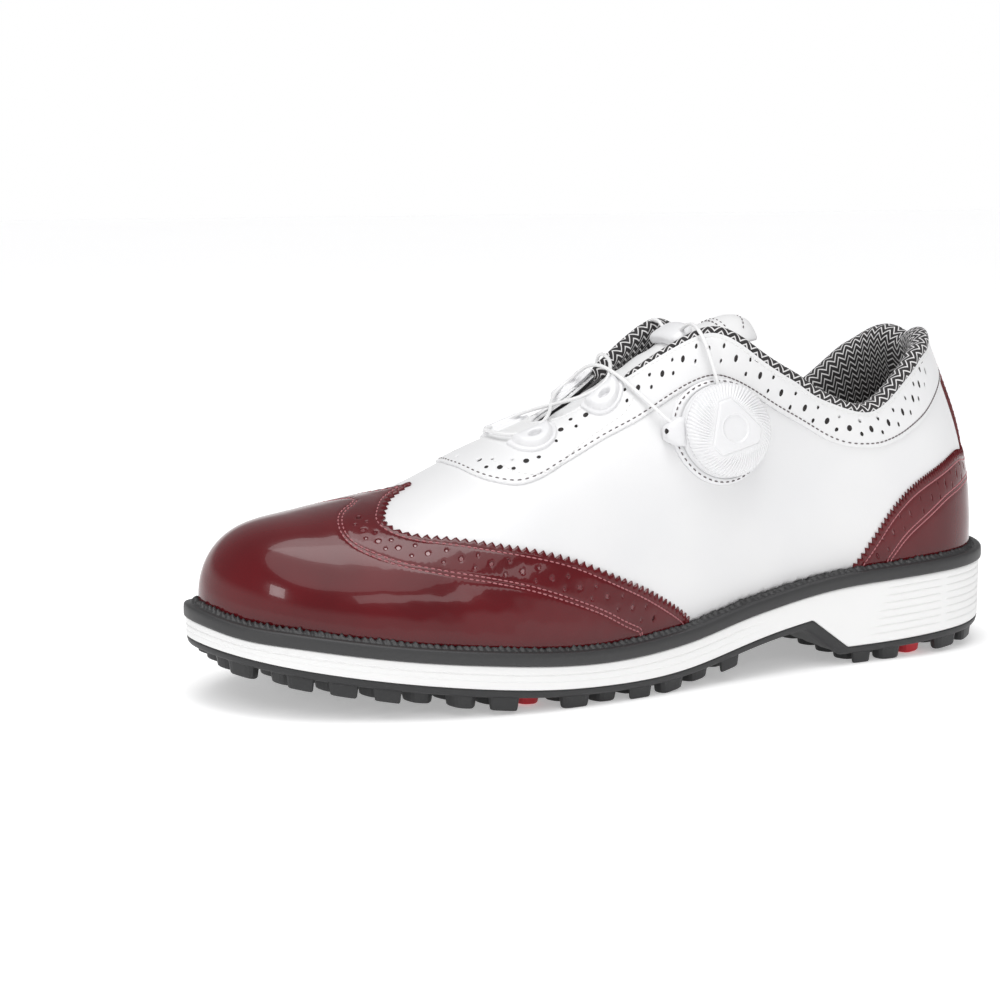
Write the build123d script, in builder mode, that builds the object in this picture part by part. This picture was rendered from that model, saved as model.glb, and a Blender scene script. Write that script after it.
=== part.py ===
from build123d import *
import os
import math
import time

# Golf shoe, left foot, dial-laced wingtip.
# Millimetres.  Toe at -X, heel at +X, lateral (dial) side -Y, medial side +Y, +Z up.
# Origin: on the ground plane, under the centre of the shoe's box.
os.makedirs("parts", exist_ok=True)

# ---------------------------------------------------------------- driving dimensions
XT, XH = -144.8, 145.0            # toe and heel tips of the upper where it meets the welt
XM, XR = (XT + XH) / 2, (XH - XT) / 2
FEATHER_RISE = 5.2                # upper's lower edge above the midsole's side wall
T_OVER = 1.1                      # patent and facing leather
T_MAIN = 1.3                      # white leather
T_STIFF = 1.0                     # toe puff, heel counter
T_LINE = 0.9                      # lining
PAD = 6.4                         # collar: inner face below the leather's outer face
LACE_D = 1.3
KNOB_R = 16.4
DIAL_TRAVEL = 2.5                 # lift of the knob that frees the spool
TONGUE_SWING = 8.0                # degrees, into the foot space

# sole outline, lateral then medial
OUTLINE = [(-150, 6), (-147, -6), (-140, -18), (-128, -30), (-110, -40), (-88, -47.7), (-62, -52.5), (-38, -53.0),
           (-10, -50), (20, -44.5), (50, -40), (80, -37.5), (108, -36.5), (128, -32.5), (141, -23), (148, -10),
           (150, 2), (148, 13), (141, 24), (128, 31.5), (105, 34.5), (75, 33), (45, 31), (15, 33), (-12, 39),
           (-38, 46.0), (-62, 51.0), (-85, 52.7), (-108, 49.2), (-127, 41), (-140, 30), (-148, 17)]
# top and bottom of the midsole's side wall, bottom of the outsole web, bottom of the lugs: (x, z)
WT = [(-156, 29.2), (-150, 28.0), (-142, 25.7), (-130, 24.1), (-114, 22.1), (-91, 19.2), (-65, 16.6), (-44, 14.8), (-22, 14.2),
      (-4, 15.3), (11, 17.3), (28, 21.0), (45, 24.2), (60, 26.6), (75, 28.2), (92, 29.1), (110, 30.0), (130, 30.9),
      (150, 31.6), (156, 31.8)]
WB1 = [(-156, 23.2), (-150, 21.6), (-142, 19.8), (-130, 17.6), (-114, 15.0), (-91, 11.8), (-65, 8.8), (-44, 7.0), (-22, 6.3),
       (-4, 6.7), (11, 8.4), (28, 11.9), (45, 15.4), (60, 17.8)]
WB2 = [(75.5, 6.6), (92, 6.9), (106, 7.6), (118, 8.4), (133, 9.4), (156, 11.4)]
OB1 = [(-156, 20.4), (-150, 18.8), (-142, 17.0), (-130, 14.8), (-114, 12.2), (-91, 9.0), (-65, 6.0), (-44, 4.3), (-22, 3.7),
       (-4, 4.1), (11, 5.7), (28, 9.1), (45, 12.6), (58, 14.6)]
OB2 = [(72.5, 3.9), (92, 4.1), (106, 4.7), (118, 5.5), (133, 6.5), (156, 8.5)]
LB1 = [(-156, 16.4), (-142, 12.9), (-130, 10.7), (-114, 8.1), (-91, 4.9), (-68, 1.9), (-52, 0.3), (-46, 0.0), (-2, 0.0),
       (11, 1.7), (28, 5.1), (45, 9.0)]
LB2 = [(72.0, 0.0), (106, 0.0), (118, 1.3), (133, 2.4), (156, 4.4)]

# upper surface: half width, centre line and crest height at equal steps round the toe-heel sweep
US = [0.12 + i * (math.pi - 0.24) / 16 for i in range(17)]
HALF = [55.01, 59.64, 61.87, 60.23, 57.66, 54.15, 49.37, 43.31, 37.18, 33.24, 32.83, 35.72, 41.32, 48.91, 57.22, 63.45, 64.34]
MIDY = [6.92, 6.18, 5.41, 4.45, 2.72, 0.16, -2.78, -4.94, -6.13, -5.87, -4.29, -2.37, -1.32, -0.91, -0.36, 0.65, 1.66]
RISE = [76.3, 68.4, 59.3, 52.3, 50.4, 52.3, 62.0, 70.1, 85.6, 112.2, 136.7, 157.8, 164.3, 157.2, 141.2, 144.5, 145.4]

# wing edge of the toe cap in side view
WING = [(-73.8, 68.4), (-83.0, 64.8), (-88.7, 62.1), (-91.2, 60.0), (-90.9, 58.1), (-88.0, 56.5), (-82.9, 55.3),
        (-74.6, 54.5), (-65.3, 53.3), (-56.1, 51.7), (-47.1, 49.8), (-37.5, 47.1), (-28.4, 43.5), (-18.3, 38.8),
        (-9.3, 34.4), (-1.5, 29.8), (5.2, 25.3), (8.6, 20.5)]
# lower edge of the heel foxing, side view
FOX = [(78.0, 30.0), (80.6, 33.7), (86.0, 40.0), (90.1, 45.1), (94.1, 50.2), (98.9, 55.2), (104.6, 59.8), (112.9, 64.2),
       (120.9, 68.5), (127.0, 71.7)]
# top line of the upper from throat to heel, side view
TOPL = [(-31, 86.9), (-24, 87.6), (-14, 91.3), (-6, 97.2), (0.8, 102.9), (8.9, 109.2), (16.0, 113.9), (20.9, 116.6),
        (26.4, 118.3), (31.8, 117.2), (37.3, 113.8), (44.5, 108.2), (52.8, 103.0), (57.4, 100.3), (63.4, 96.2), (71.2, 92.8),
        (78.2, 90.3), (84.6, 89.3), (89.8, 90.8), (95.2, 94.4), (100.9, 99.3), (106.2, 103.9), (110.0, 107.9),
        (114.5, 111.6), (120.0, 113.6), (127.0, 113.9)]
# lower edge of the perforated facing and collar band, side view
BAND = [(-62.0, 72.6), (-58.4, 72.8), (-54.7, 71.3), (-50.0, 70.4), (-46.2, 70.4), (-38.9, 72.3), (-31.9, 75.4), (-23.5, 79.2),
        (-13.9, 83.9), (-3.4, 88.8), (4.6, 93.4), (12.4, 98.0), (18.1, 100.7), (24.1, 102.2), (30.0, 101.0), (36.5, 97.8),
        (42.4, 94.1), (48.2, 90.6), (58.7, 84.9), (64.9, 81.4), (70.8, 78.7), (77.1, 76.9), (83.0, 76.2), (89.4, 76.0),
        (94.6, 76.9), (99.9, 78.7), (105.4, 81.6), (110.4, 84.8), (114.4, 88.4), (118.1, 92.3), (124.0, 98.5)]


# ---------------------------------------------------------------- small maths
def cubic(pts):
    """natural cubic through (x, y) pairs"""
    xs = [p[0] for p in pts]
    ys = [p[1] for p in pts]
    n = len(xs)
    h = [xs[i + 1] - xs[i] for i in range(n - 1)]
    al = [0.0] + [3 * ((ys[i + 1] - ys[i]) / h[i] - (ys[i] - ys[i - 1]) / h[i - 1]) for i in range(1, n - 1)]
    l, mu, z = [1.0] * n, [0.0] * n, [0.0] * n
    for i in range(1, n - 1):
        l[i] = 2 * (xs[i + 1] - xs[i - 1]) - h[i - 1] * mu[i - 1]
        mu[i] = h[i] / l[i]
        z[i] = (al[i] - h[i - 1] * z[i - 1]) / l[i]
    c, b, d = [0.0] * n, [0.0] * n, [0.0] * n
    for j in range(n - 2, -1, -1):
        c[j] = z[j] - mu[j] * c[j + 1]
        b[j] = (ys[j + 1] - ys[j]) / h[j] - h[j] * (c[j + 1] + 2 * c[j]) / 3
        d[j] = (c[j + 1] - c[j]) / (3 * h[j])

    def f(x):
        x = min(max(x, xs[0]), xs[-1])
        i = 0
        while i < n - 2 and x > xs[i + 1]:
            i += 1
        t = x - xs[i]
        return ys[i] + b[i] * t + c[i] * t * t + d[i] * t ** 3
    return f


wt = cubic(WT)
half_f = cubic(list(zip(US, HALF)))
mid_f = cubic(list(zip(US, MIDY)))
rise_f = cubic(list(zip(US, RISE)))
p_f = cubic([(0, 2.15), (.5, 2.15), (1.0, 2.1), (1.5, 2.2), (2.0, 2.35), (2.6, 2.3), (3.15, 2.2)])
q_f = cubic([(0, 2.2), (.5, 2.2), (1.0, 2.1), (1.5, 2.2), (2.0, 2.35), (2.6, 2.3), (3.15, 2.3)])
k_f = cubic([(0, 1.0), (.5, 1.5), (1.0, 3.0), (1.3, 5.0), (1.6, 6), (2.0, 4), (2.6, 1.0), (3.15, 0)])


def feather(x):
    return wt(x) + FEATHER_RISE


def arch_point(u, th, d):
    """point of the upper's section at sweep angle u; th 0 lateral edge .. pi medial edge; d offset outwards"""
    x = XM - (XR + d) * math.cos(u)
    a = math.sin(u) * (half_f(u) + d)
    h = math.sin(u) * (rise_f(u) + d)
    p, q = p_f(u), q_f(u)
    c, s = math.cos(th), math.sin(th)
    t = max(s, 0.0) ** (2 / q)
    y = mid_f(u) + k_f(u) * t * t - math.copysign(abs(c) ** (2 / p), c) * a
    return x, y, feather(x) + h * t


def skin_point(x, dy, lift=0.0):
    """point on the leather's outer face at station x, dy from the crest line, lifted along the normal"""
    def base(x, dy):
        u = math.acos(max(-1, min(1, (XM - x) / XR)))
        a, h = math.sin(u) * half_f(u), math.sin(u) * rise_f(u)
        y = mid_f(u) + k_f(u) + dy
        lo, hi = 0.0, 1.0
        for _ in range(50):
            m = (lo + hi) / 2
            g = (abs(y - mid_f(u) - k_f(u) * m * m) / a) ** p_f(u) + m ** q_f(u) - 1
            lo, hi = (lo, m) if g > 0 else (m, hi)
        return Vector(x, y, feather(x) + h * lo)
    o = base(x, dy)
    n = (base(x + .5, dy) - base(x - .5, dy)).cross(base(x, dy + .5) - base(x, dy - .5)).normalized()
    return o + n * lift, n


def wall_point(x, z, side, lift=0.0):
    """point on the leather's outer face at station x and height z on one side (-1 lateral, +1 medial)"""
    def base(x, z):
        u = math.acos(max(-1, min(1, (XM - x) / XR)))
        a, h = math.sin(u) * half_f(u), math.sin(u) * rise_f(u)
        t = max(z - feather(x), 0) / h
        return Vector(x, mid_f(u) + k_f(u) * t * t + side * a * max(1 - t ** q_f(u), 0) ** (1 / p_f(u)), z)
    o = base(x, z)
    n = (base(x + .5, z) - base(x - .5, z)).cross(base(x, z + .5) - base(x, z - .5)).normalized()
    if n.Y * side < 0:
        n = n * -1
    return o + n * lift, n


CACHE = {}
STATIONS = [0.07, 0.17, 0.29, 0.43, 0.60, 0.80, 1.02, 1.24, 1.45, 1.66, 1.87, 2.08, 2.29, 2.48, 2.65, 2.80, 2.92, 3.01, 3.08]


def last_solid(d, skirt=9.0):
    """solid under the upper's face, offset by d; its sides run down below the feather line"""
    if (d, skirt) in CACHE:
        return CACHE[(d, skirt)]
    with BuildPart() as body:
        for u in STATIONS:
            x = XM - (XR + d) * math.cos(u)
            pts = [arch_point(u, math.pi * i / 16, d) for i in range(17)]
            with BuildSketch(Plane.YZ.offset(x)):
                with BuildLine():
                    Spline([(q[1], q[2]) for q in pts], tangents=[(0, 1), (0, -1)])
                    Polyline((pts[-1][1], pts[-1][2]), (pts[-1][1], pts[-1][2] - skirt),
                             (pts[0][1], pts[0][2] - skirt), (pts[0][1], pts[0][2]))
                make_face()
        loft()
    CACHE[(d, skirt)] = body.part
    return body.part


def shell(d_out, d_in):
    with BuildPart() as s:
        add(last_solid(d_out))
        add(last_solid(d_in, 12.0), mode=Mode.SUBTRACT)
    return s.part


def low_edge(x0, x1, rise=0.08, n=10):
    """the feather line in side view from x0 to x1"""
    return [(x0 + (x1 - x0) * i / n, feather(x0 + (x1 - x0) * i / n) + rise) for i in range(n + 1)]


T0 = time.time()


def export(part, name):
    part.label = name
    export_step(part, f"parts/{name}.step")
    b = part.bounding_box()
    print(f"{time.time() - T0:5.0f} {name:26s} solids {len(part.solids())} vol {part.volume:10.1f} box "
          f"{b.min.X:.1f},{b.min.Y:.1f},{b.min.Z:.1f} {b.max.X:.1f},{b.max.Y:.1f},{b.max.Z:.1f}", flush=True)


# ---------------------------------------------------------------- sole unit
def outline_points(inset):
    """the sole outline moved inwards by inset"""
    if not inset:
        return OUTLINE
    n = len(OUTLINE)
    out = []
    for i, (x, y) in enumerate(OUTLINE):
        (x0, y0), (x1, y1) = OUTLINE[i - 1], OUTLINE[(i + 1) % n]
        tx, ty = x1 - x0, y1 - y0
        l = math.hypot(tx, ty)
        out.append((x - ty / l * inset, y + tx / l * inset))
    return out


def outline_prism(inset, z0, z1):
    with BuildPart() as p:
        with BuildSketch(Plane.XY.offset(z0)):
            with BuildLine():
                Spline(outline_points(inset), periodic=True)
            make_face()
        extrude(amount=z1 - z0)
    return p.part


full = outline_prism(0, -2, 60)

# midsole: side wall with a heel breast
with BuildPart() as midsole:
    add(full)
    with BuildSketch(Plane.XZ):
        with BuildLine():
            Spline(WT)
            Line(WT[-1], WB2[-1])
            Spline(WB2[::-1])
            Line(WB2[0], WB1[-1])
            Spline(WB1[::-1])
            Line(WB1[0], WT[0])
        make_face()
    extrude(amount=80, both=True, mode=Mode.INTERSECT)

# shallow grooves round the forefoot wall
wb1 = cubic(WB1)
with BuildPart() as grooves:
    for k in (0.36, 0.64):
        with BuildSketch(Plane.XZ):
            with BuildLine():
                top = [(x, z - (z - wb1(x)) * k + .3) for x, z in WT[:14]]
                bot = [(x, z - .6) for x, z in top]
                Spline(top)
                Line(top[-1], bot[-1])
                Spline(bot[::-1])
                Line(bot[0], top[0])
            make_face()
        extrude(amount=80, both=True)
    add(outline_prism(0.7, -1, 50), mode=Mode.SUBTRACT)

# shank plate, let into the midsole's waist from above
with BuildPart() as shank:
    with BuildSketch(Plane.XZ):
        with BuildLine():
            up = [(x, wt(x) - 0.1) for x in (-12, 5, 22, 40, 58, 76, 90)]
            dn = [(x, z - 1.6) for x, z in up]
            Spline(up)
            Line(up[-1], dn[-1])
            Spline(dn[::-1])
            Line(dn[0], up[0])
        make_face()
    extrude(amount=9, both=True)
with BuildPart() as midsole_cut:
    add(midsole.part)
    with BuildSketch(Plane.XZ):
        with BuildLine():
            up = [(x, wt(x) + 1) for x in (-12.2, 5, 22, 40, 58, 76, 90.2)]
            dn = [(x, wt(x) - 1.8) for x in (-12.2, 5, 22, 40, 58, 76, 90.2)]
            Spline(up)
            Line(up[-1], dn[-1])
            Spline(dn[::-1])
            Line(dn[0], up[0])
        make_face()
    extrude(amount=9.2, both=True, mode=Mode.SUBTRACT)
    add(grooves.part, mode=Mode.SUBTRACT)
export(midsole_cut.part, "midsole")
export(shank.part, "shank")

# outsole web and lugs
LUG_X, LUG_Y = 12.6, 12.0


def lug_centres(x0, x1):
    out = []
    i = 0
    x = x0
    while x <= x1:
        j = -4
        while j <= 4:
            out.append((x, j * LUG_Y + (LUG_Y / 2 if i % 2 else 0) - 1.5))
            j += 1
        x += LUG_X
        i += 1
    return out


RED = [(-50.0, -37.5), (-50.0, 34.5), (-37.4, -1.5), (107.8, -25.5), (107.8, 22.5)]
FORE = [c for c in lug_centres(-138.2, 26)]
HEEL = [c for c in lug_centres(82.6, 146)]


def near_red(c):
    return any(abs(c[0] - r[0]) < 7 and abs(c[1] - r[1]) < 7 for r in RED)


def lug_band(l1, l2, up):
    """side band between the lugs' ground line and the web, both zones"""
    with BuildPart() as b:
        for low, web in ((l1, OB1), (l2, OB2)):
            top = [(x, z + up) for x, z in web]
            with BuildSketch(Plane.XZ):
                with BuildLine():
                    Polyline(*low)
                    Line(low[-1], top[-1])
                    Polyline(*top[::-1])
                    Line(top[0], low[0])
                make_face()
            extrude(amount=80, both=True)
    return b.part


with BuildPart() as lugs:
    with BuildSketch(Plane.XY.offset(-2)):
        with Locations(*[c for c in FORE + HEEL if not near_red(c)]):
            RegularPolygon(radius=5.3, side_count=6)
    extrude(amount=40)
    add(outline_prism(2.2, -2, 40), mode=Mode.INTERSECT)
    add(lug_band(LB1, LB2, 0.6), mode=Mode.INTERSECT)

with BuildPart() as outsole:
    add(full)
    with BuildSketch(Plane.XZ):
        with BuildLine():
            Spline([(x, z - .04) for x, z in WB1])
            Line((WB1[-1][0], WB1[-1][1] - .04), (WB2[0][0] - .04, WB2[0][1] - .04))
            Spline([(x - (.04 if i == 0 else 0), z - .04) for i, (x, z) in enumerate(WB2)])
            Line((WB2[-1][0], WB2[-1][1] - .04), OB2[-1])
            Spline(OB2[::-1])
            Line(OB2[0], OB1[-1])
            Spline(OB1[::-1])
            Line(OB1[0], (WB1[0][0], WB1[0][1] - .04))
        make_face()
    extrude(amount=80, both=True, mode=Mode.INTERSECT)
    add(lugs.part)
export(outsole.part, "outsole")

with BuildPart() as lug_inserts:
    with BuildSketch(Plane.XY.offset(-2)):
        with Locations(*RED):
            RegularPolygon(radius=5.3, side_count=6)
    extrude(amount=40)
    add(outline_prism(2.2, -2, 40), mode=Mode.INTERSECT)
    add(lug_band(LB1, LB2, -0.18), mode=Mode.INTERSECT)
export(lug_inserts.part, "lug_inserts")

# welt: flat strip round the whole edge on top of the midsole
with BuildPart() as welt:
    with BuildSketch(Plane.XZ):
        with BuildLine():
            lo = [(x, z + .05) for x, z in WT]
            up = [(x, z + 5.0) for x, z in WT]
            Spline(up)
            Line(up[-1], lo[-1])
            Spline(lo[::-1])
            Line(lo[0], up[0])
        make_face()
    extrude(amount=80, both=True)
    add(outline_prism(-0.6, -2, 60), mode=Mode.INTERSECT)
    add(outline_prism(13, -2, 60), mode=Mode.SUBTRACT)
export(welt.part, "welt")


def inside_plate(inset_d, z_lo, z_hi):
    """plate inside the upper, following the feather line; heights above the midsole's side wall"""
    with BuildPart() as p:
        add(last_solid(inset_d, 14.0))
        with BuildSketch(Plane.XZ):
            with BuildLine():
                lo = [(x, z + z_lo) for x, z in WT]
                up = [(x, z + z_hi) for x, z in WT]
                Spline(up)
                Line(up[-1], lo[-1])
                Spline(lo[::-1])
                Line(lo[0], up[0])
            make_face()
        extrude(amount=80, both=True, mode=Mode.INTERSECT)
    return p.part


with BuildPart() as filler:
    with BuildSketch(Plane.XZ):
        with BuildLine():
            lo = [(x, z + .05) for x, z in WT]
            up = [(x, z + 4.9) for x, z in WT]
            Spline(up)
            Line(up[-1], lo[-1])
            Spline(lo[::-1])
            Line(lo[0], up[0])
        make_face()
    extrude(amount=80, both=True)
    add(outline_prism(13.2, -2, 60), mode=Mode.INTERSECT)
export(filler.part, "bottom_filler")
export(inside_plate(-3.8, 5.3, 7.2), "insole_board")
export(inside_plate(-4.2, 7.3, 11.3), "sockliner")

# ---------------------------------------------------------------- upper layers
print("shells", flush=True)
S_OVER = shell(0.10 + T_OVER, 0.10)
S_MAIN = shell(0.0, -T_MAIN)
S_STIFF = shell(-T_MAIN - 0.1, -T_MAIN - 0.1 - T_STIFF)
S_LINE = shell(-2.5, -2.5 - T_LINE)
S_PAD = shell(-T_MAIN - 0.15, -PAD)
S_ROLL = shell(0.9, -PAD)


def panel(src, pts, y0=None, y1=None):
    """cut src to a side-view polygon; y0..y1 limits it across the shoe"""
    clean = []
    for q in pts:
        if not clean or math.dist(q, clean[-1]) > 0.02:
            clean.append(q)
    if math.dist(clean[0], clean[-1]) < 0.02:
        clean.pop()
    pts = clean
    with BuildPart() as p:
        add(src)
        with BuildSketch(Plane.XZ):
            with BuildLine():
                Polyline(*pts, close=True)
            make_face()
        if y0 is None:
            extrude(amount=90, both=True, mode=Mode.INTERSECT)
        elif y1 < 0.5:
            extrude(amount=90, mode=Mode.INTERSECT)
        else:
            extrude(amount=-90, mode=Mode.INTERSECT)
    return p.part


def below(pts, dz):
    return [(x, z + dz) for x, z in pts]


def part_of(pts, x0, x1):
    f = cubic(pts)
    inner = [p for p in pts if x0 < p[0] < x1]
    return [(x0, f(x0))] + inner + [(x1, f(x1))]


topl = TOPL
back_gap = Pos(130, 0, 60) * Box(60, 0.12, 140)
strip_box = Pos(135, 0.5, 95) * Box(60, 15, 60)
strip_way = Pos(142, 0.5, 95) * Box(60, 15.3, 80)
DIAL_C, DIAL_N = wall_point(25.0, 85.1, -1)

# dial frame: z out of the shoe, x towards the heel
dial_plane = Plane(origin=DIAL_C, x_dir=(1, 0, 0), z_dir=DIAL_N)

# white leather, front part and the two quarters
V_X = -20.0
vamp = panel(S_MAIN, low_edge(-148, V_X) + part_of(topl, -31, V_X)[::-1] + [(-31.5, 95), (-60, 95), (-148, 75)])
export(vamp, "vamp")
q_side = low_edge(V_X + .1, 148) + [(148, 114), (127, 113.9)] + part_of(topl, V_X + .1, 127)[::-1]
with BuildPart() as ql:
    add(panel(S_MAIN, q_side, -90, 0))
    with BuildSketch(dial_plane.offset(-6)):
        Circle(7.0)
    extrude(amount=12, mode=Mode.SUBTRACT)
with BuildPart() as qm:
    add(panel(S_MAIN, q_side, 0, 90))
    add(back_gap, mode=Mode.SUBTRACT)
export(ql.part, "quarter_lateral")
export(qm.part, "quarter_medial")

# toe cap (wing) and heel foxing with the strip up the back
with BuildPart() as cap:
    add(S_OVER)
    with BuildSketch(Plane.XZ):
        with BuildLine():
            Spline(WING)
            Polyline(WING[-1], (8.6, 15), (-150, 15), (-150, 80), (-74.2, 80), WING[0])
        make_face()
    extrude(amount=90, both=True, mode=Mode.INTERSECT)
    with BuildSketch(Plane.XZ):
        with BuildLine():
            Polyline(*([(-152, feather(-150) + .08)] + low_edge(-148, 12) + [(12, 100), (-152, 100)]), close=True)
        make_face()
    extrude(amount=90, both=True, mode=Mode.INTERSECT)
export(cap.part, "toe_cap")
fox_pts = [(79.4, feather(79.4) + .08)] + FOX[2:] + [(150, 71.7)] + low_edge(150, 80.0)
export(panel(S_OVER, fox_pts), "heel_foxing")
with BuildPart() as strip:
    add(panel(S_OVER, [(118, 71.85), (150, 71.85), (150, 110.8), (118, 110.8)]))
    add(strip_box, mode=Mode.INTERSECT)
export(strip.part, "back_strip")

# perforated facing and collar band
with BuildPart() as band:
    pts = BAND + [(130, 113.7)] + [(x, z) for x, z in topl[::-1] if x < 127] + [(-31.5, 95), (-62, 90)]
    add(panel(S_OVER, pts))
    add(strip_way, mode=Mode.SUBTRACT)
    with BuildSketch(dial_plane.offset(-6)):
        Circle(17.4)
    extrude(amount=20, mode=Mode.SUBTRACT)
export(band.part, "facing_band")

# stiffeners
export(panel(S_STIFF, low_edge(-148, -98) + [(-92, 80), (-148, 80)]), "toe_puff")
export(panel(S_STIFF, low_edge(92, 148) + [(148, 80.0), (110, 80), (96, 60)]), "heel_counter")
# linings
export(panel(S_LINE, low_edge(-148, -22) + part_of(topl, -31, -22)[::-1] + [(-31.5, 92), (-60, 92), (-148, 75)]), "vamp_lining")
PADLOW = [(34, 97), (42, 90), (52, 82), (70, 76), (84, 74), (98, 76), (110, 80.2), (148, 80.2)]
q_lin = low_edge(-21.8, 148) + PADLOW[::-1] + part_of(topl, -21.8, 33.8)[::-1]
export(panel(S_LINE, q_lin, -90, 0), "quarter_lining_lateral")
with BuildPart() as qlm:
    add(panel(S_LINE, q_lin, 0, 90))
    add(back_gap, mode=Mode.SUBTRACT)
export(qlm.part, "quarter_lining_medial")
# padded collar, two halves
pad_side = [(x + .1, z + .15) for x, z in PADLOW] + [(148, 113.7)] + [(x, z) for x, z in topl[::-1] if 35 < x < 126] + [(34.2, 115.6)]
export(panel(S_PAD, pad_side, -90, 0), "collar_pad_lateral")
with BuildPart() as cpm:
    add(panel(S_PAD, pad_side, 0, 90))
    add(back_gap, mode=Mode.SUBTRACT)
export(cpm.part, "collar_pad_medial")
# textile roll along the top line
roll_low = [(x, z + .12) for x, z in topl if x > 0]
roll_up = [(x, z + (1.3 if x < 46 else 2.0 if x < 60 else 2.9)) for x, z in topl if x > 0]
export(panel(S_ROLL, [(130, 114.1)] + roll_low[::-1] + roll_up + [(130, 116.9)]), "collar_roll")

# ---------------------------------------------------------------- tongue
# (x, crest z, half width, edge drop)
TONG = [(-44, 76.2, 17, 3.9), (-28, 82.0, 16.9, 4.6), (-12, 90.6, 16.4, 5.2), (4, 100.6, 15.5, 5.4), (20, 110.4, 15.2, 5.7),
        (31, 116.2, 14.6, 6.2), (42, 120.6, 14.4, 6.8)]
T_TONG = 4.4
with BuildPart() as tongue:
    for x, zc, w, drop in TONG:
        with BuildSketch(Plane.YZ.offset(x)):
            with BuildLine():
                a0, a1, a2 = (-w, zc - drop), (0, zc), (w, zc - drop)
                b0, b1, b2 = (-w + .6, zc - drop - T_TONG), (0, zc - T_TONG), (w - .6, zc - drop - T_TONG)
                ThreePointArc(a0, a1, a2)
                Line(a2, b2)
                ThreePointArc(b2, b1, b0)
                Line(b0, a0)
            make_face()
    loft()
export(tongue.part, "tongue")
with BuildPart() as tongue_tab:
    for x, zc, w, drop in ((42.15, 120.8, 14.0, 6.6), (47.5, 121.4, 13.2, 6.2), (52.5, 119.8, 11.4, 4.8)):
        with BuildSketch(Plane.YZ.offset(x)):
            with BuildLine():
                ThreePointArc((-w, zc - drop), (0, zc), (w, zc - drop))
                Line((w, zc - drop), (w - .4, zc - drop - 2.6))
                ThreePointArc((w - .4, zc - drop - 2.6), (0, zc - 2.6), (-w + .4, zc - drop - 2.6))
                Line((-w + .4, zc - drop - 2.6), (-w, zc - drop))
            make_face()
    loft()
export(tongue_tab.part, "tongue_tab")

# ---------------------------------------------------------------- lace route
def P(x, dy, lift):
    v, n = skin_point(x, dy, lift)
    return v


def W(x, z, side, lift):
    v, n = wall_point(x, z, side, lift)
    return v


def D(x, y, z):
    return dial_plane.from_local_coords(Vector(x, y, z))


# spool side, nose, medial rear guide, lateral front guide, throat front, medial front guide,
# lateral rear guide, medial quarter guide, tongue guide, housing
ROUTE = [D(-8.6, -1.0, 2.95), D(-17.5, 1.0, 2.95), W(2.0, 93.4, -1, 4.0), P(-2.5, -9.5, 4.4), P(-3.5, 3.0, 4.6), P(-6.5, 12.0, 3.6), P(-15.5, 10.5, 3.3),
         P(-26.5, -9.5, 3.5), P(-36.5, -12.6, 3.3), P(-42.5, -7.0, 3.3), P(-43.6, 1.0, 3.4), P(-42.0, 9.0, 3.3), P(-36.0, 13.2, 3.3),
         P(-26.0, 10.2, 3.5), P(-15.0, -9.2, 3.4), P(-6.5, -12.2, 3.6), P(-0.2, -4.5, 5.2), P(3.0, 7.5, 4.8), W(5.0, 102.0, 1, 3.6),
         W(8.4, 90.5, 1, 3.4), W(13.5, 83.6, 1, 3.1), W(20.0, 84.4, 1, 3.1), W(24.2, 91.0, 1, 3.2), W(25.3, 103.0, 1, 3.6),
         W(25.2, 115.2, 1, 5.6), Vector(24.8, 13.4, 121.5), Vector(23.8, 4.0, 115.9), Vector(23.4, -5.0, 116.2), Vector(23.2, -14.2, 121.4),
         W(23.2, 115.4, -1, 4.8), W(24.0, 106.5, -1, 3.6), D(-0.8, 15.0, 2.95), D(0.3, 8.7, 2.95)]
radii = []
for i in range(1, len(ROUTE) - 1):
    a, b, c = ROUTE[i - 1], ROUTE[i], ROUTE[i + 1]
    turn = math.radians((b - a).get_angle(c - b))
    run = min((b - a).length, (c - b).length)
    radii.append(min(0.45 * run / math.tan(turn / 2), 400.0))
print("lace radii", [round(r, 1) for r in radii])


def lace_tube(r):
    with BuildPart() as t:
        with BuildLine() as path:
            FilletPolyline(*ROUTE, radius=radii)
        with BuildSketch(Plane(origin=ROUTE[0], z_dir=ROUTE[1] - ROUTE[0])):
            Circle(r)
        sweep()
    return t.part, path.wires()[0].length


lace, lace_len = lace_tube(LACE_D / 2)
print("lace length", round(lace_len, 1), "tube volume ratio", round(lace.volume / (math.pi * LACE_D ** 2 / 4 * lace_len), 4))
export(lace, "lace")
lace_way, _ = lace_tube(LACE_D / 2 + 0.35)


# ---------------------------------------------------------------- lace guides
def d_guide(point, normal, along, length, width, thick, name, sink=1.15):
    """flat D: straight side towards the throat, round side away from it"""
    pl = Plane(origin=point + normal * sink, x_dir=along, z_dir=normal)
    with BuildPart() as g:
        with BuildSketch(pl):
            with BuildLine():
                Polyline((-length / 2, width * .35), (length / 2, width * .35), (length / 2 - .8, -width * .05))
                ThreePointArc((length / 2 - .8, -width * .05), (0, -width * .65), (-length / 2 + .8, -width * .05))
                Line((-length / 2 + .8, -width * .05), (-length / 2, width * .35))
            make_face()
            fillet(vertices(), radius=0.9)
        extrude(amount=thick)
        try:
            fillet(faces().sort_by(Axis(point, normal))[-1].edges(), radius=0.8)
        except Exception:
            print("no fillet on", name)
        with BuildSketch(pl.offset(thick * .55)):
            with Locations((0, -width * .16)):
                Ellipse(length * .17, width * .13)
        extrude(amount=thick, mode=Mode.SUBTRACT)
        add(lace_way, mode=Mode.SUBTRACT)
    export(g.part, name)
    return g.part


def along_at(x, dy, s):
    a, _ = skin_point(x - 5, dy)
    b, _ = skin_point(x + 5, dy)
    return (b - a) * s


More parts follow.
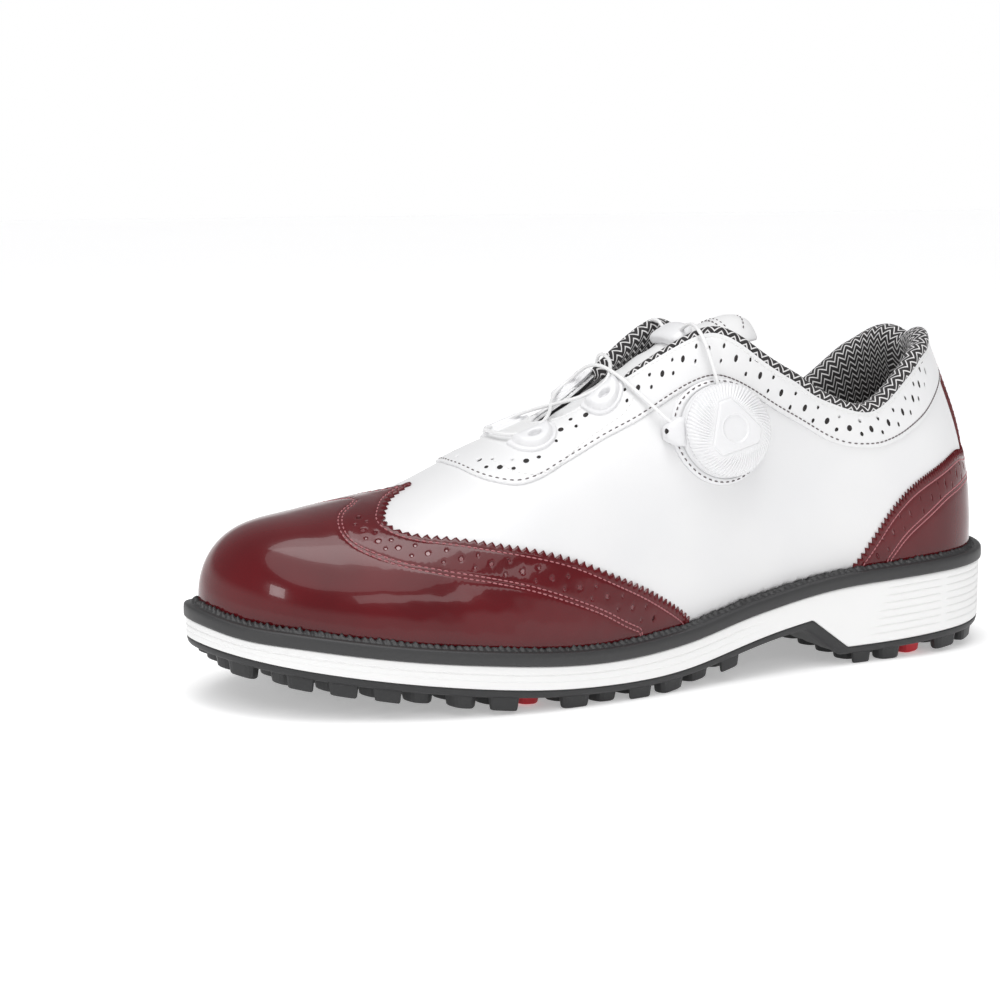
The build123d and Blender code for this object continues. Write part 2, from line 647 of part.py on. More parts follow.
for nm, x, dy in (("guide_lateral_front", -34.5, -13.2), ("guide_medial_front", -34.0, 13.8)):
    o, n = skin_point(x, dy)
    d_guide(o, n, along_at(x, dy, -1 if dy > 0 else 1), 17.0, 10.0, 3.4, nm, 1.6)
for nm, x, dy in (("guide_lateral_rear", -8.5, -13.4), ("guide_medial_rear", -8.5, 13.4)):
    o, n = skin_point(x, dy)
    d_guide(o, n, along_at(x, dy, -1 if dy > 0 else 1), 17.0, 10.0, 3.4, nm)
o, n = wall_point(17.0, 85.5, 1)
d_guide(o, n, Vector(-1, 0, -0.25), 25.0, 16.0, 4.0, "guide_medial_quarter")

# tongue guide: low saddle on the tongue that the lace runs through from side to side
with BuildPart() as tongue_guide:
    # three-section saddle that follows the tongue's crown
    for y, dz in ((-9.5, -1.4), (0, 0), (9.5, -1.4)):
        with BuildSketch(Plane.XZ.offset(-y)):
            with BuildLine():
                Polyline((18.6, 111.2 + dz), (28.6, 116.4 + dz), (27.6, 120.4 + dz), (19.4, 117.6 + dz), close=True)
            make_face()
            fillet(vertices(), radius=0.8)
    loft()
    add(lace_way, mode=Mode.SUBTRACT)
export(tongue_guide.part, "tongue_guide")

# ---------------------------------------------------------------- dial
with BuildPart() as housing:
    with BuildSketch(dial_plane.offset(1.35)):
        Circle(16.9)
    extrude(amount=0.5)
    with BuildSketch(dial_plane.offset(1.35)):
        Circle(16.2)
        with Locations((-17.4, 0.6)):
            Trapezoid(6.4, 9.5, 78, rotation=90)
    extrude(amount=3.35)
    with BuildSketch(dial_plane.offset(2.0)):
        Circle(8.2)
    extrude(amount=4, mode=Mode.SUBTRACT)
    with BuildSketch(dial_plane.offset(-1.8)):
        Circle(6.6)
    extrude(amount=3.4)
    add(lace_way, mode=Mode.SUBTRACT)
    with BuildSketch(dial_plane.offset(-2.5)):
        Circle(1.3)
    extrude(amount=6, mode=Mode.SUBTRACT)
export(housing.part, "dial_housing")
with BuildPart() as axle:
    with BuildSketch(dial_plane.offset(-1.8)):
        Circle(1.25)
    extrude(amount=11.0)
    with BuildSketch(dial_plane.offset(-2.35)):
        Circle(3.0)
    extrude(amount=0.55)
export(axle.part, "dial_axle")
with BuildPart() as spool:
    with BuildSketch(dial_plane.offset(2.2)):
        Circle(7.3)
    extrude(amount=0.5)
    with BuildSketch(dial_plane.offset(2.2)):
        Circle(4.8)
    extrude(amount=2.1)
    with BuildSketch(dial_plane.offset(3.8)):
        Circle(7.3)
    extrude(amount=0.5)
    with BuildSketch(dial_plane.offset(1.5)):
        Circle(1.31)
    extrude(amount=6, mode=Mode.SUBTRACT)
export(spool.part, "dial_spool")
with BuildPart() as carrier:
    with BuildSketch(dial_plane.offset(4.6)):
        Circle(4.4)
    extrude(amount=0.8)
    with BuildSketch(dial_plane.offset(4.6)):
        Circle(3.0)
    extrude(amount=3.6)
    with BuildSketch(dial_plane.offset(4.0)):
        Circle(1.31)
    extrude(amount=6, mode=Mode.SUBTRACT)
export(carrier.part, "dial_carrier")
with BuildPart() as knob:
    with BuildSketch(Plane(origin=dial_plane.origin, x_dir=dial_plane.x_dir, z_dir=dial_plane.y_dir * -1)):
        with BuildLine():
            Polyline((0, 9.8), (3.06, 9.8), (3.06, 5.5), (4.9, 5.5), (4.9, 5.0), (15.9, 5.0), (16.4, 5.6), (16.3, 6.6))
            Spline((16.3, 6.6), (14.6, 8.6), (11.6, 10.0), (8.0, 10.8), (0, 10.9), tangents=[(-0.3, 1), (-1, 0)])
            Line((0, 10.9), (0, 9.8))
        make_face()
    revolve(axis=Axis(dial_plane.origin, dial_plane.z_dir))
export(knob.part, "dial_knob")
print("dial centre", DIAL_C, "axis", DIAL_N)
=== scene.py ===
import bpy, math
import numpy as np
from mathutils import Vector, Matrix
from mathutils.geometry import delaunay_2d_cdt
from mathutils.kdtree import KDTree


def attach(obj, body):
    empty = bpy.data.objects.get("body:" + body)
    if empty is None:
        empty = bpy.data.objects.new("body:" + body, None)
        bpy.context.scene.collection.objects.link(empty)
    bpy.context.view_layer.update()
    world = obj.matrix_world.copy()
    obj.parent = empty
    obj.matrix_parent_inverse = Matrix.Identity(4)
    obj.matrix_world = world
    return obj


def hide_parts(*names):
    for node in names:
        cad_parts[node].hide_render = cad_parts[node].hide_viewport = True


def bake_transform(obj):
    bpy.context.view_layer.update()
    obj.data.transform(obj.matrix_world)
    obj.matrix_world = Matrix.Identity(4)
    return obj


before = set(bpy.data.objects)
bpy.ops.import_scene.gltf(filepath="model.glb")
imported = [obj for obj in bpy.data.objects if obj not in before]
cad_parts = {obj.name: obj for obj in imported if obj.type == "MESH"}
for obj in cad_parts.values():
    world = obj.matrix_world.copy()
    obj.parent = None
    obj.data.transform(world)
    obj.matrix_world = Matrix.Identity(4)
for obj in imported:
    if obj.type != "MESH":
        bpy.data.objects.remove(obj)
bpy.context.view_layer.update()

MM = 0.001
rng = np.random.default_rng(7)

# ------------------------------------------------------------------ camera
def set_camera():
    az, el, dist = math.radians(-24.0), math.radians(9.074), 0.720
    back = Vector((math.sin(az) * math.cos(el), -math.cos(az) * math.cos(el), math.sin(el)))
    tgt = Vector((-0.04194, 0.0, 0.06116))
    cd = bpy.data.cameras.new("cam")
    cam = bpy.data.objects.new("cam", cd)
    bpy.context.scene.collection.objects.link(cam)
    right = Vector((math.cos(az), math.sin(az), 0.0))
    up = back.cross(right)
    m = Matrix((right, up, back)).transposed().to_4x4()
    m.translation = tgt + back * dist
    cam.matrix_world = m
    cd.sensor_width = 36.0
    cd.lens = 2108.87 / 1000 * 36.0
    cd.clip_start, cd.clip_end = 0.01, 30
    cd.dof.use_dof = False
    bpy.context.scene.camera = cam


set_camera()

# ------------------------------------------------------------------ smooth tables (millimetres)
def cub(xk, yk):
    """natural cubic spline through the knots"""
    xk, yk = np.asarray(xk, float), np.asarray(yk, float)
    n = len(xk)
    h = np.diff(xk)
    A = np.zeros((n, n))
    b = np.zeros(n)
    A[0, 0] = A[-1, -1] = 1
    for i in range(1, n - 1):
        A[i, i - 1], A[i, i], A[i, i + 1] = h[i - 1], 2 * (h[i - 1] + h[i]), h[i]
        b[i] = 3 * ((yk[i + 1] - yk[i]) / h[i] - (yk[i] - yk[i - 1]) / h[i - 1])
    c = np.linalg.solve(A, b)
    bb = np.diff(yk) / h - h * (2 * c[:-1] + c[1:]) / 3
    d = np.diff(c) / (3 * h)

    def f(x):
        x = np.clip(x, xk[0], xk[-1])
        i = np.clip(np.searchsorted(xk, x) - 1, 0, n - 2)
        t = x - xk[i]
        return yk[i] + bb[i] * t + c[i] * t * t + d[i] * t ** 3
    return f


XT, XH = -144.8, 145.0
XM, XR = (XT + XH) / 2, (XH - XT) / 2
OUTLINE = [(-150, 6), (-147, -6), (-140, -18), (-128, -30), (-110, -40), (-88, -47.7), (-62, -52.5), (-38, -53.0),
           (-10, -50), (20, -44.5), (50, -40), (80, -37.5), (108, -36.5), (128, -32.5), (141, -23), (148, -10),
           (150, 2), (148, 13), (141, 24), (128, 31.5), (105, 34.5), (75, 33), (45, 31), (15, 33), (-12, 39),
           (-38, 46.0), (-62, 51.0), (-85, 52.7), (-108, 49.2), (-127, 41), (-140, 30), (-148, 17)]
WT = [(-156, 29.2), (-150, 28.0), (-142, 25.7), (-130, 24.1), (-114, 22.1), (-91, 19.2), (-65, 16.6), (-44, 14.8), (-22, 14.2),
      (-4, 15.3), (11, 17.3), (28, 21.0), (45, 24.2), (60, 26.6), (75, 28.2), (92, 29.1), (110, 30.0), (130, 30.9),
      (150, 31.6), (156, 31.8)]
WB1 = [(-156, 23.2), (-150, 21.6), (-142, 19.8), (-130, 17.6), (-114, 15.0), (-91, 11.8), (-65, 8.8), (-44, 7.0), (-22, 6.3),
       (-4, 6.7), (11, 8.4), (28, 11.9), (45, 15.4), (60, 17.8)]
WB2 = [(75.5, 6.6), (92, 6.9), (106, 7.6), (118, 8.4), (133, 9.4), (156, 11.4)]
OB1 = [(-156, 20.4), (-150, 18.8), (-142, 17.0), (-130, 14.8), (-114, 12.2), (-91, 9.0), (-65, 6.0), (-44, 4.3), (-22, 3.7),
       (-4, 4.1), (11, 5.7), (28, 9.1), (45, 12.6), (58, 14.6)]
OB2 = [(72.5, 3.9), (92, 4.1), (106, 4.7), (118, 5.5), (133, 6.5), (156, 8.5)]
LB = [(-156, 16.4), (-142, 12.9), (-130, 10.7), (-114, 8.1), (-91, 4.9), (-68, 1.9), (-52, 0.3), (-46, 0.0), (-2, 0.0),
      (11, 1.7), (28, 5.1), (45, 9.0)]
LB2 = [(72.0, 0.0), (106, 0.0), (118, 1.3), (133, 2.4), (156, 4.4)]
US = [0.12 + i * (math.pi - 0.24) / 16 for i in range(17)]
HALF = [55.01, 59.64, 61.87, 60.23, 57.66, 54.15, 49.37, 43.31, 37.18, 33.24, 32.83, 35.72, 41.32, 48.91, 57.22, 63.45, 64.34]
MIDY = [6.92, 6.18, 5.41, 4.45, 2.72, 0.16, -2.78, -4.94, -6.13, -5.87, -4.29, -2.37, -1.32, -0.91, -0.36, 0.65, 1.66]
RISE = [76.3, 68.4, 59.3, 52.3, 50.4, 52.3, 62.0, 70.1, 85.6, 112.2, 136.7, 157.8, 164.3, 157.2, 141.2, 144.5, 145.4]
f_wt, f_wb1, f_wb2, f_ob1, f_ob2 = (cub(*zip(*t)) for t in (WT, WB1, WB2, OB1, OB2))
f_half, f_mid, f_rise = cub(US, HALF), cub(US, MIDY), cub(US, RISE)
f_p = cub([0, .5, 1.0, 1.5, 2.0, 2.6, 3.15], [2.15, 2.15, 2.1, 2.2, 2.35, 2.3, 2.2])
f_q = cub([0, .5, 1.0, 1.5, 2.0, 2.6, 3.15], [2.2, 2.2, 2.1, 2.2, 2.35, 2.3, 2.3])
f_k = cub([0, .5, 1.0, 1.3, 1.6, 2.0, 2.6, 3.15], [1.0, 1.5, 3.0, 5.0, 6, 4, 1.0, 0])


def feather(x):
    return f_wt(x) + 5.2


def S(u, th):
    """upper's outer face: sweep angle u (0 toe .. pi heel), th 0 lateral edge .. pi medial edge"""
    u, th = np.broadcast_arrays(np.asarray(u, float), np.asarray(th, float))
    x = XM - XR * np.cos(u)
    a, h = np.sin(u) * f_half(u), np.sin(u) * f_rise(u)
    c, s = np.cos(th), np.maximum(np.sin(th), 0)
    t = s ** (2 / f_q(u))
    y = f_mid(u) + f_k(u) * t * t - np.sign(c) * np.abs(c) ** (2 / f_p(u)) * a
    return np.stack([x, y, feather(x) + h * t], -1)


def Nrm(u, th):
    """outward unit normal, from the section function's own slopes"""
    u, th = np.broadcast_arrays(np.asarray(u, float), np.asarray(th, float))
    e = 2e-3
    u0, u1 = np.clip(u - e, .004, math.pi - .004), np.clip(u + e, .004, math.pi - .004)
    t0, t1 = np.clip(th - e, 1e-4, math.pi - 1e-4), np.clip(th + e, 1e-4, math.pi - 1e-4)
    n = np.cross(S(u1, th) - S(u0, th), S(u, t1) - S(u, t0))
    n /= np.maximum(np.linalg.norm(n, axis=-1, keepdims=True), 1e-12)
    return n


# the sheet coordinates: L along the crest line, s along the section from the crest, both in mm on the leather
_U = np.concatenate([np.linspace(.02, .3, 50)[:-1], np.linspace(.3, 2.84, 260), np.linspace(2.84, math.pi - .02, 50)[1:]])
_T = np.linspace(0, math.pi, 241)
_P = S(_U[:, None], _T[None, :])
_seg = np.linalg.norm(np.diff(_P, axis=1), axis=-1)
_s = np.concatenate([np.zeros((len(_U), 1)), np.cumsum(_seg, 1)], 1)
_s -= _s[:, 120:121]
_L = np.concatenate([[0], np.cumsum(np.linalg.norm(np.diff(_P[:, 120], axis=0), axis=-1))])
_sl, _sm = -_s[:, 0], _s[:, -1]
_sig = np.linspace(-1, 1, 241)
_TH = np.array([np.interp(_sig, np.where(_s[i] < 0, _s[i] / _sl[i], _s[i] / _sm[i]), _T) for i in range(len(_U))])


def to_uth(L, s):
    L, s = np.asarray(L, float), np.asarray(s, float)
    u = np.interp(L, _L, _U)
    sig = np.where(s < 0, s / np.interp(u, _U, _sl), s / np.interp(u, _U, _sm))
    sig = np.clip(sig, -1, 1)
    i = np.clip(np.searchsorted(_U, u) - 1, 0, len(_U) - 2)
    fu = np.clip((u - _U[i]) / (_U[i + 1] - _U[i]), 0, 1)
    k = np.clip(((sig + 1) * 120).astype(int), 0, 239)
    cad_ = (sig + 1) * 120 - k
    th = ((1 - fu) * ((1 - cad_) * _TH[i, k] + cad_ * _TH[i, k + 1]) + fu * ((1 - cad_) * _TH[i + 1, k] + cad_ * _TH[i + 1, k + 1]))
    return u, th


def to_sheet(u, th):
    u, th = np.asarray(u, float), np.asarray(th, float)
    L = np.interp(u, _U, _L)
    i = np.clip(np.searchsorted(_U, u) - 1, 0, len(_U) - 2)
    fu = np.clip((u - _U[i]) / (_U[i + 1] - _U[i]), 0, 1)
    k = np.clip((th / math.pi * 240).astype(int), 0, 239)
    ft = th / math.pi * 240 - k
    s = ((1 - fu) * ((1 - ft) * _s[i, k] + ft * _s[i, k + 1]) + fu * ((1 - ft) * _s[i + 1, k] + ft * _s[i + 1, k + 1]))
    return np.stack([L, s], -1)


def xz_uth(x, z, side):
    x, z = np.asarray(x, float), np.asarray(z, float)
    u = np.arccos(np.clip((XM - x) / XR, -1, 1))
    t = np.clip((z - feather(x)) / np.maximum(np.sin(u) * f_rise(u), 1e-6), 0, 1)
    th = np.arcsin(np.clip(t ** (f_q(u) / 2), 0, 1))
    return u, np.where(side < 0, th, math.pi - th)


def sheet_xz(pts, side):
    """side-view points (x, z) on one side of the shoe, as sheet points"""
    pts = np.asarray(pts, float)
    return to_sheet(*xz_uth(pts[:, 0], pts[:, 1], side))


def at(q, lift=0.0):
    """sheet points to 3-D points and normals, mm"""
    q = np.asarray(q, float)
    u, th = to_uth(q[..., 0], q[..., 1])
    n = Nrm(u, th)
    return S(u, th) + n * np.asarray(lift)[..., None] if np.ndim(lift) else S(u, th) + n * lift, n


# ------------------------------------------------------------------ polyline helpers
def resample(p, step, closed=False):
    p = np.asarray(p, float)
    if closed:
        p = np.vstack([p, p[:1]])
    d = np.concatenate([[0], np.cumsum(np.linalg.norm(np.diff(p, axis=0), axis=1))])
    n = max(2, int(round(d[-1] / step)) + 1)
    t = np.linspace(0, d[-1], n)
    out = np.stack([np.interp(t, d, p[:, k]) for k in range(p.shape[1])], -1)
    return out[:-1] if closed else out


def smooth_curve(p, step, closed=False):
    """chord-length cubic through the points, resampled"""
    p = np.asarray(p, float)
    if closed:
        m = 3
        p = np.vstack([p[-m:], p, p[:m + 1]])
    d = np.concatenate([[0], np.cumsum(np.sqrt(np.linalg.norm(np.diff(p, axis=0), axis=1)))])
    t = np.linspace(d[0], d[-1], 60 * len(p)) if not closed else np.linspace(d[3], d[len(p) - 4], 60 * len(p))
    q = np.stack([cub(d, p[:, k])(t) for k in range(p.shape[1])], -1)
    return resample(q, step) if not closed else resample(q, step)[:-1]


def normals2(p, closed=False):
    if closed:
        t = np.roll(p, -1, 0) - np.roll(p, 1, 0)
    else:
        t = np.gradient(p, axis=0)
    t /= np.maximum(np.linalg.norm(t, axis=1, keepdims=True), 1e-9)
    return np.stack([-t[:, 1], t[:, 0]], -1)


def pink(p, pitch=3.4, depth=1.9, inward=1):
    """zig-zag along a polyline; teeth reach outwards from the line, valleys on it"""
    r = resample(p, pitch / 2)
    if len(r) % 2 == 0:
        r = resample(p, np.linalg.norm(np.diff(resample(p, .5), axis=0), axis=1).sum() / len(r))
    n = normals2(r) * inward
    off = np.where(np.arange(len(r)) % 2 == 1, depth, 0.0)
    z = r + n * off[:, None]
    out = []
    for i in range(len(z) - 1):
        for f in (0, .34, .67):
            out.append(z[i] * (1 - f) + z[i + 1] * f)
    out.append(z[-1])
    return np.array(out)


def inside_even(pts, loops):
    c = np.zeros(len(pts), bool)
    for lp in loops:
        a, b = lp, np.roll(lp, -1, 0)
        for (x0, y0), (x1, y1) in zip(a, b):
            if y0 == y1:
                continue
            m = ((y0 > pts[:, 1]) != (y1 > pts[:, 1]))
            c ^= m & (pts[:, 0] < (x1 - x0) * (pts[:, 1] - y0) / (y1 - y0) + x0)
    return c


def cloud_tree(p):
    t = KDTree(len(p))
    for i, q in enumerate(p):
        t.insert((q[0], q[1], 0.0), i)
    t.balance()
    return t


def dist_to(p, tree):
    return np.array([tree.find((q[0], q[1], 0.0))[2] for q in p])


# ------------------------------------------------------------------ mesh makers
def new_obj(name, verts, faces, mat=None, smooth=True, loop_normals=None, attrs=None):
    """verts in mm"""
    me = bpy.data.meshes.new(name)
    me.from_pydata((np.asarray(verts, float) * MM).tolist(), [], [list(map(int, f)) for f in faces])
    me.validate()
    me.update()
    if smooth:
        me.polygons.foreach_set("use_smooth", [True] * len(me.polygons))
    for k, v in (attrs or {}).items():
        v = np.asarray(v, np.float32)
        a = me.attributes.new(k, "FLOAT_VECTOR" if v.ndim == 2 else "FLOAT", "POINT")
        a.data.foreach_set("vector" if v.ndim == 2 else "value", v.ravel())
    if loop_normals is not None and len(loop_normals) == len(me.loops):
        me.normals_split_custom_set([tuple(map(float, n)) for n in loop_normals])
    o = bpy.data.objects.new(name, me)
    bpy.context.scene.collection.objects.link(o)
    if mat:
        me.materials.append(mat)
    return o


def sheet_mesh(name, loops, d0, thick, mat, grid=1.7, lines=(), line_depth=0.2, line_w=0.55, edge_w=0.8, edge_keep=0.5,
               holes=(), puff=None, fine=0.6, attrs=False):
    """a leather piece cut from the sheet: outer loops and holes in sheet coordinates, from height d0, thick"""
    loops = [np.asarray(l, float) for l in loops]
    hl = []
    for (c, r, n) in holes:
        a = np.linspace(0, 2 * math.pi, n, endpoint=False)
        hl.append(np.stack([c[0] + r * np.cos(a), c[1] + r * np.sin(a)], -1))
    allb = loops + hl
    bpts = np.vstack(allb)
    dense = np.vstack([resample(l, min(.35, grid), True) for l in loops] + [resample(l, .2, True) for l in hl])
    tree = cloud_tree(dense)
    lo_, hi_ = bpts.min(0), bpts.max(0)
    xs = np.arange(lo_[0], hi_[0], grid)
    ys = np.arange(lo_[1], hi_[1], grid * .866)
    gx, gy = np.meshgrid(xs, ys)
    gx = gx + (np.arange(len(ys)) % 2)[:, None] * grid / 2
    g = np.stack([gx.ravel(), gy.ravel()], -1)
    g = g[inside_even(g, allb)]
    g = g[dist_to(g, tree) > grid * .75]
    extra = []
    for l in loops:
        r = resample(l, max(.9, grid * .55), True)
        nn = normals2(r, True)
        for off in (.3, .85):
            for sgn in (1, -1):
                extra.append(r + nn * off * sgn)
    for (c, r, n) in holes:
        for rr in (r + .22, r + .6):
            a = np.linspace(0, 2 * math.pi, max(8, int(n * .8)), endpoint=False) + .1
            extra.append(np.stack([c[0] + rr * np.cos(a), c[1] + rr * np.sin(a)], -1))
    ltree = None
    if len(lines):
        lp = [resample(l, .8) for l in lines]
        ltree = cloud_tree(np.vstack([resample(l, .25) for l in lines]))
        for l in lp:
            nn = normals2(l)
            for off in (0, .45, -.45, 1.0, -1.0):
                extra.append(l + nn * off)
    if extra:
        e = np.vstack(extra)
        e = e[inside_even(e, allb)]
        e = e[dist_to(e, tree) > .2]
        # thin out
        keep, tt = [], {}
        for i, q in enumerate(e):
            key = (int(q[0] / .3), int(q[1] / .3))
            if key not in tt:
                tt[key] = i
                keep.append(i)
        e = e[keep]
        et = cloud_tree(e)
        g = g[dist_to(g, et) > grid * .45]
        g = np.vstack([g, e])
    pts = np.vstack([bpts, g])
    edges, k = [], 0
    for l in allb:
        n = len(l)
        edges += [(k + i, k + (i + 1) % n) for i in range(n)]
        k += n
    vo, eo, fo, _, _, _ = delaunay_2d_cdt([Vector(p) for p in pts], edges, [], 0, 1e-5)
    v2 = np.array([(v.x, v.y) for v in vo])
    tri = np.array([f for f in fo if len(f) == 3])
    cen = v2[tri].mean(1)
    tri = tri[inside_even(cen, allb)]
    a = v2[tri]
    area = (a[:, 1, 0] - a[:, 0, 0]) * (a[:, 2, 1] - a[:, 0, 1]) - (a[:, 2, 0] - a[:, 0, 0]) * (a[:, 1, 1] - a[:, 0, 1])
    tri[area < 0] = tri[area < 0][:, ::-1]
    tri = tri[np.abs(area) > 1e-7]
    used = np.unique(tri)
    remap = -np.ones(len(v2), int)
    remap[used] = np.arange(len(used))
    v2, tri = v2[used], remap[tri]
    dd = dist_to(v2, tree)
    dd[dd < 0.06] = 0
    prof = edge_keep + (1 - edge_keep) * np.sqrt(np.clip(1 - (1 - np.clip(dd / edge_w, 0, 1)) ** 2, 0, 1))
    hgt = thick * prof
    if ltree is not None:
        ld = dist_to(v2, ltree)
        hgt = hgt - line_depth * np.exp(-(ld / line_w) ** 2)
    u, th = to_uth(v2[:, 0], v2[:, 1])
    P0, N0 = S(u, th), Nrm(u, th)
    if puff is not None:
        hgt = hgt + puff(P0, v2, dd)
    top = P0 + N0 * (d0 + hgt)[:, None]
    bot = P0 + N0 * d0
    n = len(v2)
    # is the sheet's orientation such that tri winds outwards?
    t0 = tri[0]
    fn = np.cross(top[tri[:, 1]] - top[tri[:, 0]], top[tri[:, 2]] - top[tri[:, 0]])
    if (fn * N0[tri[:, 0]]).sum() < 0:
        tri = tri[:, ::-1]
    # vertex normals of the top from its own shape where it is stepped, else exact
    vn = np.zeros((n, 3))
    fn = np.cross(top[tri[:, 1]] - top[tri[:, 0]], top[tri[:, 2]] - top[tri[:, 0]])
    for k in range(3):
        np.add.at(vn, tri[:, k], fn)
    vn /= np.maximum(np.linalg.norm(vn, axis=1, keepdims=True), 1e-12)
    flat = dd > edge_w + .3
    if ltree is not None:
        flat &= ld > 1.6
    if puff is None:
        vn[flat] = N0[flat]
    e_all = np.sort(np.vstack([tri[:, [0, 1]], tri[:, [1, 2]], tri[:, [2, 0]]]), 1)
    d_all = np.vstack([tri[:, [0, 1]], tri[:, [1, 2]], tri[:, [2, 0]]])
    key = e_all[:, 0] * n + e_all[:, 1]
    _, first, cnt = np.unique(key, return_index=True, return_counts=True)
    rim = d_all[first[cnt == 1]]
    faces = tri.tolist() + (tri[:, ::-1] + n).tolist() + [[b, a_, a_ + n, b + n] for a_, b in rim]
    loopn = [vn[i] for f in tri for i in f] + [-N0[i] for f in tri[:, ::-1] for i in f]
    for a_, b in rim:
        w = np.cross(top[a_] - top[b], bot[a_] - top[a_])
        w = w / max(np.linalg.norm(w), 1e-9)
        for i in (b, a_, a_, b):
            loopn.append(w)
    at_ = {"sheet": np.hstack([np.vstack([v2, v2]), np.zeros((2 * n, 1))])} if attrs else None
    return new_obj(name, np.vstack([top, bot]), faces, mat, True, loopn, at_)


def stitch_mesh(name, lines, lift, mat, pitch=2.6, length=1.9, rad=.27, dip=.12, skew=0.0, mapping=at):
    """short thread capsules along sheet polylines"""
    V, Fc = [], []
    rings, seg = 5, 6
    for l in lines:
        q = resample(l, pitch)
        mid = (q[:-1] + q[1:]) / 2
        tan = q[1:] - q[:-1]
        tan /= np.maximum(np.linalg.norm(tan, axis=1, keepdims=True), 1e-9)
        c, n = mapping(mid, lift)
        c2, _ = mapping(mid + tan * .2, lift)
        t = c2 - c
        t /= np.maximum(np.linalg.norm(t, axis=1, keepdims=True), 1e-9)
        w = np.cross(n, t)
        if skew:
            t, w = t * math.cos(skew) + w * math.sin(skew), w * math.cos(skew) - t * math.sin(skew)
        for i in range(len(c)):
            base = len(V)
            for k in range(rings):
                f = k / (rings - 1) * 2 - 1
                r = rad * (1.0 if abs(f) < .9 else .45)
                o = c[i] + t[i] * (f * length / 2) + n[i] * (rad * .35 - dip * f * f * 2.2)
                for j in range(seg):
                    a = 2 * math.pi * j / seg
                    V.append(o + w[i] * math.cos(a) * r + n[i] * math.sin(a) * r)
            for k in range(rings - 1):
                for j in range(seg):
                    a0, a1 = base + k * seg + j, base + k * seg + (j + 1) % seg
                    Fc.append((a0, a1, a1 + seg, a0 + seg))
            Fc.append(tuple(base + j for j in range(seg))[::-1])
            Fc.append(tuple(base + (rings - 1) * seg + j for j in range(seg)))
    return new_obj(name, V, Fc, mat)


def grid_mesh(name, P, mat, closed_u=False, closed_v=False, caps=False, attrs=None, flip=False):
    """P[i, j] grid of points, mm"""
    nu, nv = P.shape[:2]
    F = []
    for i in range(nu if closed_u else nu - 1):
        for j in range(nv if closed_v else nv - 1):
            a, b = i * nv + j, i * nv + (j + 1) % nv
            c, d = ((i + 1) % nu) * nv + (j + 1) % nv, ((i + 1) % nu) * nv + j
            F.append((a, b, c, d) if not flip else (d, c, b, a))
    if caps and closed_v:
        f0, f1 = list(range(nv)), [(nu - 1) * nv + j for j in range(nv)]
        F.append(f0[::-1] if not flip else f0)
        F.append(f1 if not flip else f1[::-1])
    return new_obj(name, P.reshape(-1, 3), F, mat, attrs=attrs)


# ------------------------------------------------------------------ materials
def material(name, base, rough=.5, **kw):
    m = bpy.data.materials.new(name)
    m.use_nodes = True
    b = m.node_tree.nodes["Principled BSDF"]
    b.inputs["Base Color"].default_value = (*base, 1)
    b.inputs["Roughness"].default_value = rough
    for k, v in kw.items():
        if k in b.inputs:
            b.inputs[k].default_value = v
    return m, m.node_tree, b


def add_bump(nt, b, height, strength, distance, prev=None):
    n = nt.nodes.new("ShaderNodeBump")
    n.inputs["Strength"].default_value = strength
    n.inputs["Distance"].default_value = distance
    nt.links.new(height, n.inputs["Height"])
    if prev is not None:
        nt.links.new(prev, n.inputs["Normal"])
    nt.links.new(n.outputs["Normal"], b.inputs["Normal"])
    return n.outputs["Normal"]


def tex(nt, kind, scale, **kw):
    co = nt.nodes.new("ShaderNodeTexCoord")
    t = nt.nodes.new(kind)
    t.inputs["Scale"].default_value = scale
    for k, v in kw.items():
        if k in t.inputs:
            t.inputs[k].default_value = v
        else:
            setattr(t, k, v)
    nt.links.new(co.outputs["Object"], t.inputs["Vector"])
    return t


def ramp(nt, src, stops):
    r = nt.nodes.new("ShaderNodeValToRGB")
    el = r.color_ramp.elements
    while len(el) < len(stops):
        el.new(.5)
    for e, (p, c) in zip(el, stops):
        e.position, e.color = p, (*c, 1)
    nt.links.new(src, r.inputs["Fac"])
    return r.outputs["Color"]


# white smooth leather: soft sheen, fine pebble, faint tone variation
M_WHITE, nt, b = material("leather_white", (.79, .79, .795), .42, **{"Specular IOR Level": .5, "Coat Weight": .12, "Coat Roughness": .35})
v = tex(nt, "ShaderNodeTexVoronoi", 1500.0)
n1 = add_bump(nt, b, v.outputs["Distance"], .10, .00012)
v = tex(nt, "ShaderNodeTexNoise", 260.0, Detail=4.0)
add_bump(nt, b, v.outputs[0], .10, .0003, n1)
v = tex(nt, "ShaderNodeTexNoise", 22.0, Detail=2.0)
nt.links.new(ramp(nt, v.outputs[0], [(.3, (.755, .757, .765)), (.7, (.80, .80, .80))]), b.inputs["Base Color"])

# burgundy patent leather
M_PATENT, nt, b = material("patent_burgundy", (.150, .0026, .0070), .20, **{"Coat Weight": .42, "Coat Roughness": .03, "Specular IOR Level": .22})
v = tex(nt, "ShaderNodeTexNoise", 45.0, Detail=2.0)
nt.links.new(ramp(nt, v.outputs[0], [(.25, (.080, .0024, .0048)), (.75, (.112, .0038, .0070))]), b.inputs["Base Color"])
v2_ = tex(nt, "ShaderNodeTexNoise", 160.0, Detail=2.0)
add_bump(nt, b, v2_.outputs[0], .10, .0006)

# dark cloth behind the white band's perforations; the same dark material is also painted shade in the dial nose's lace
# port
M_PERF_AND_PORT_SHADE, nt, b = material("perforation_cloth_and_port_shade", (.016, .012, .012), .8)
v = tex(nt, "ShaderNodeTexNoise", 400.0)
add_bump(nt, b, v.outputs[0], .2, .0002)
M_PERFRED, nt, b = material("perforation_burgundy", (.16, .012, .018), .22, **{"Coat Weight": 1.0, "Coat Roughness": .1})
v = tex(nt, "ShaderNodeTexNoise", 400.0)
add_bump(nt, b, v.outputs[0], .2, .0002)

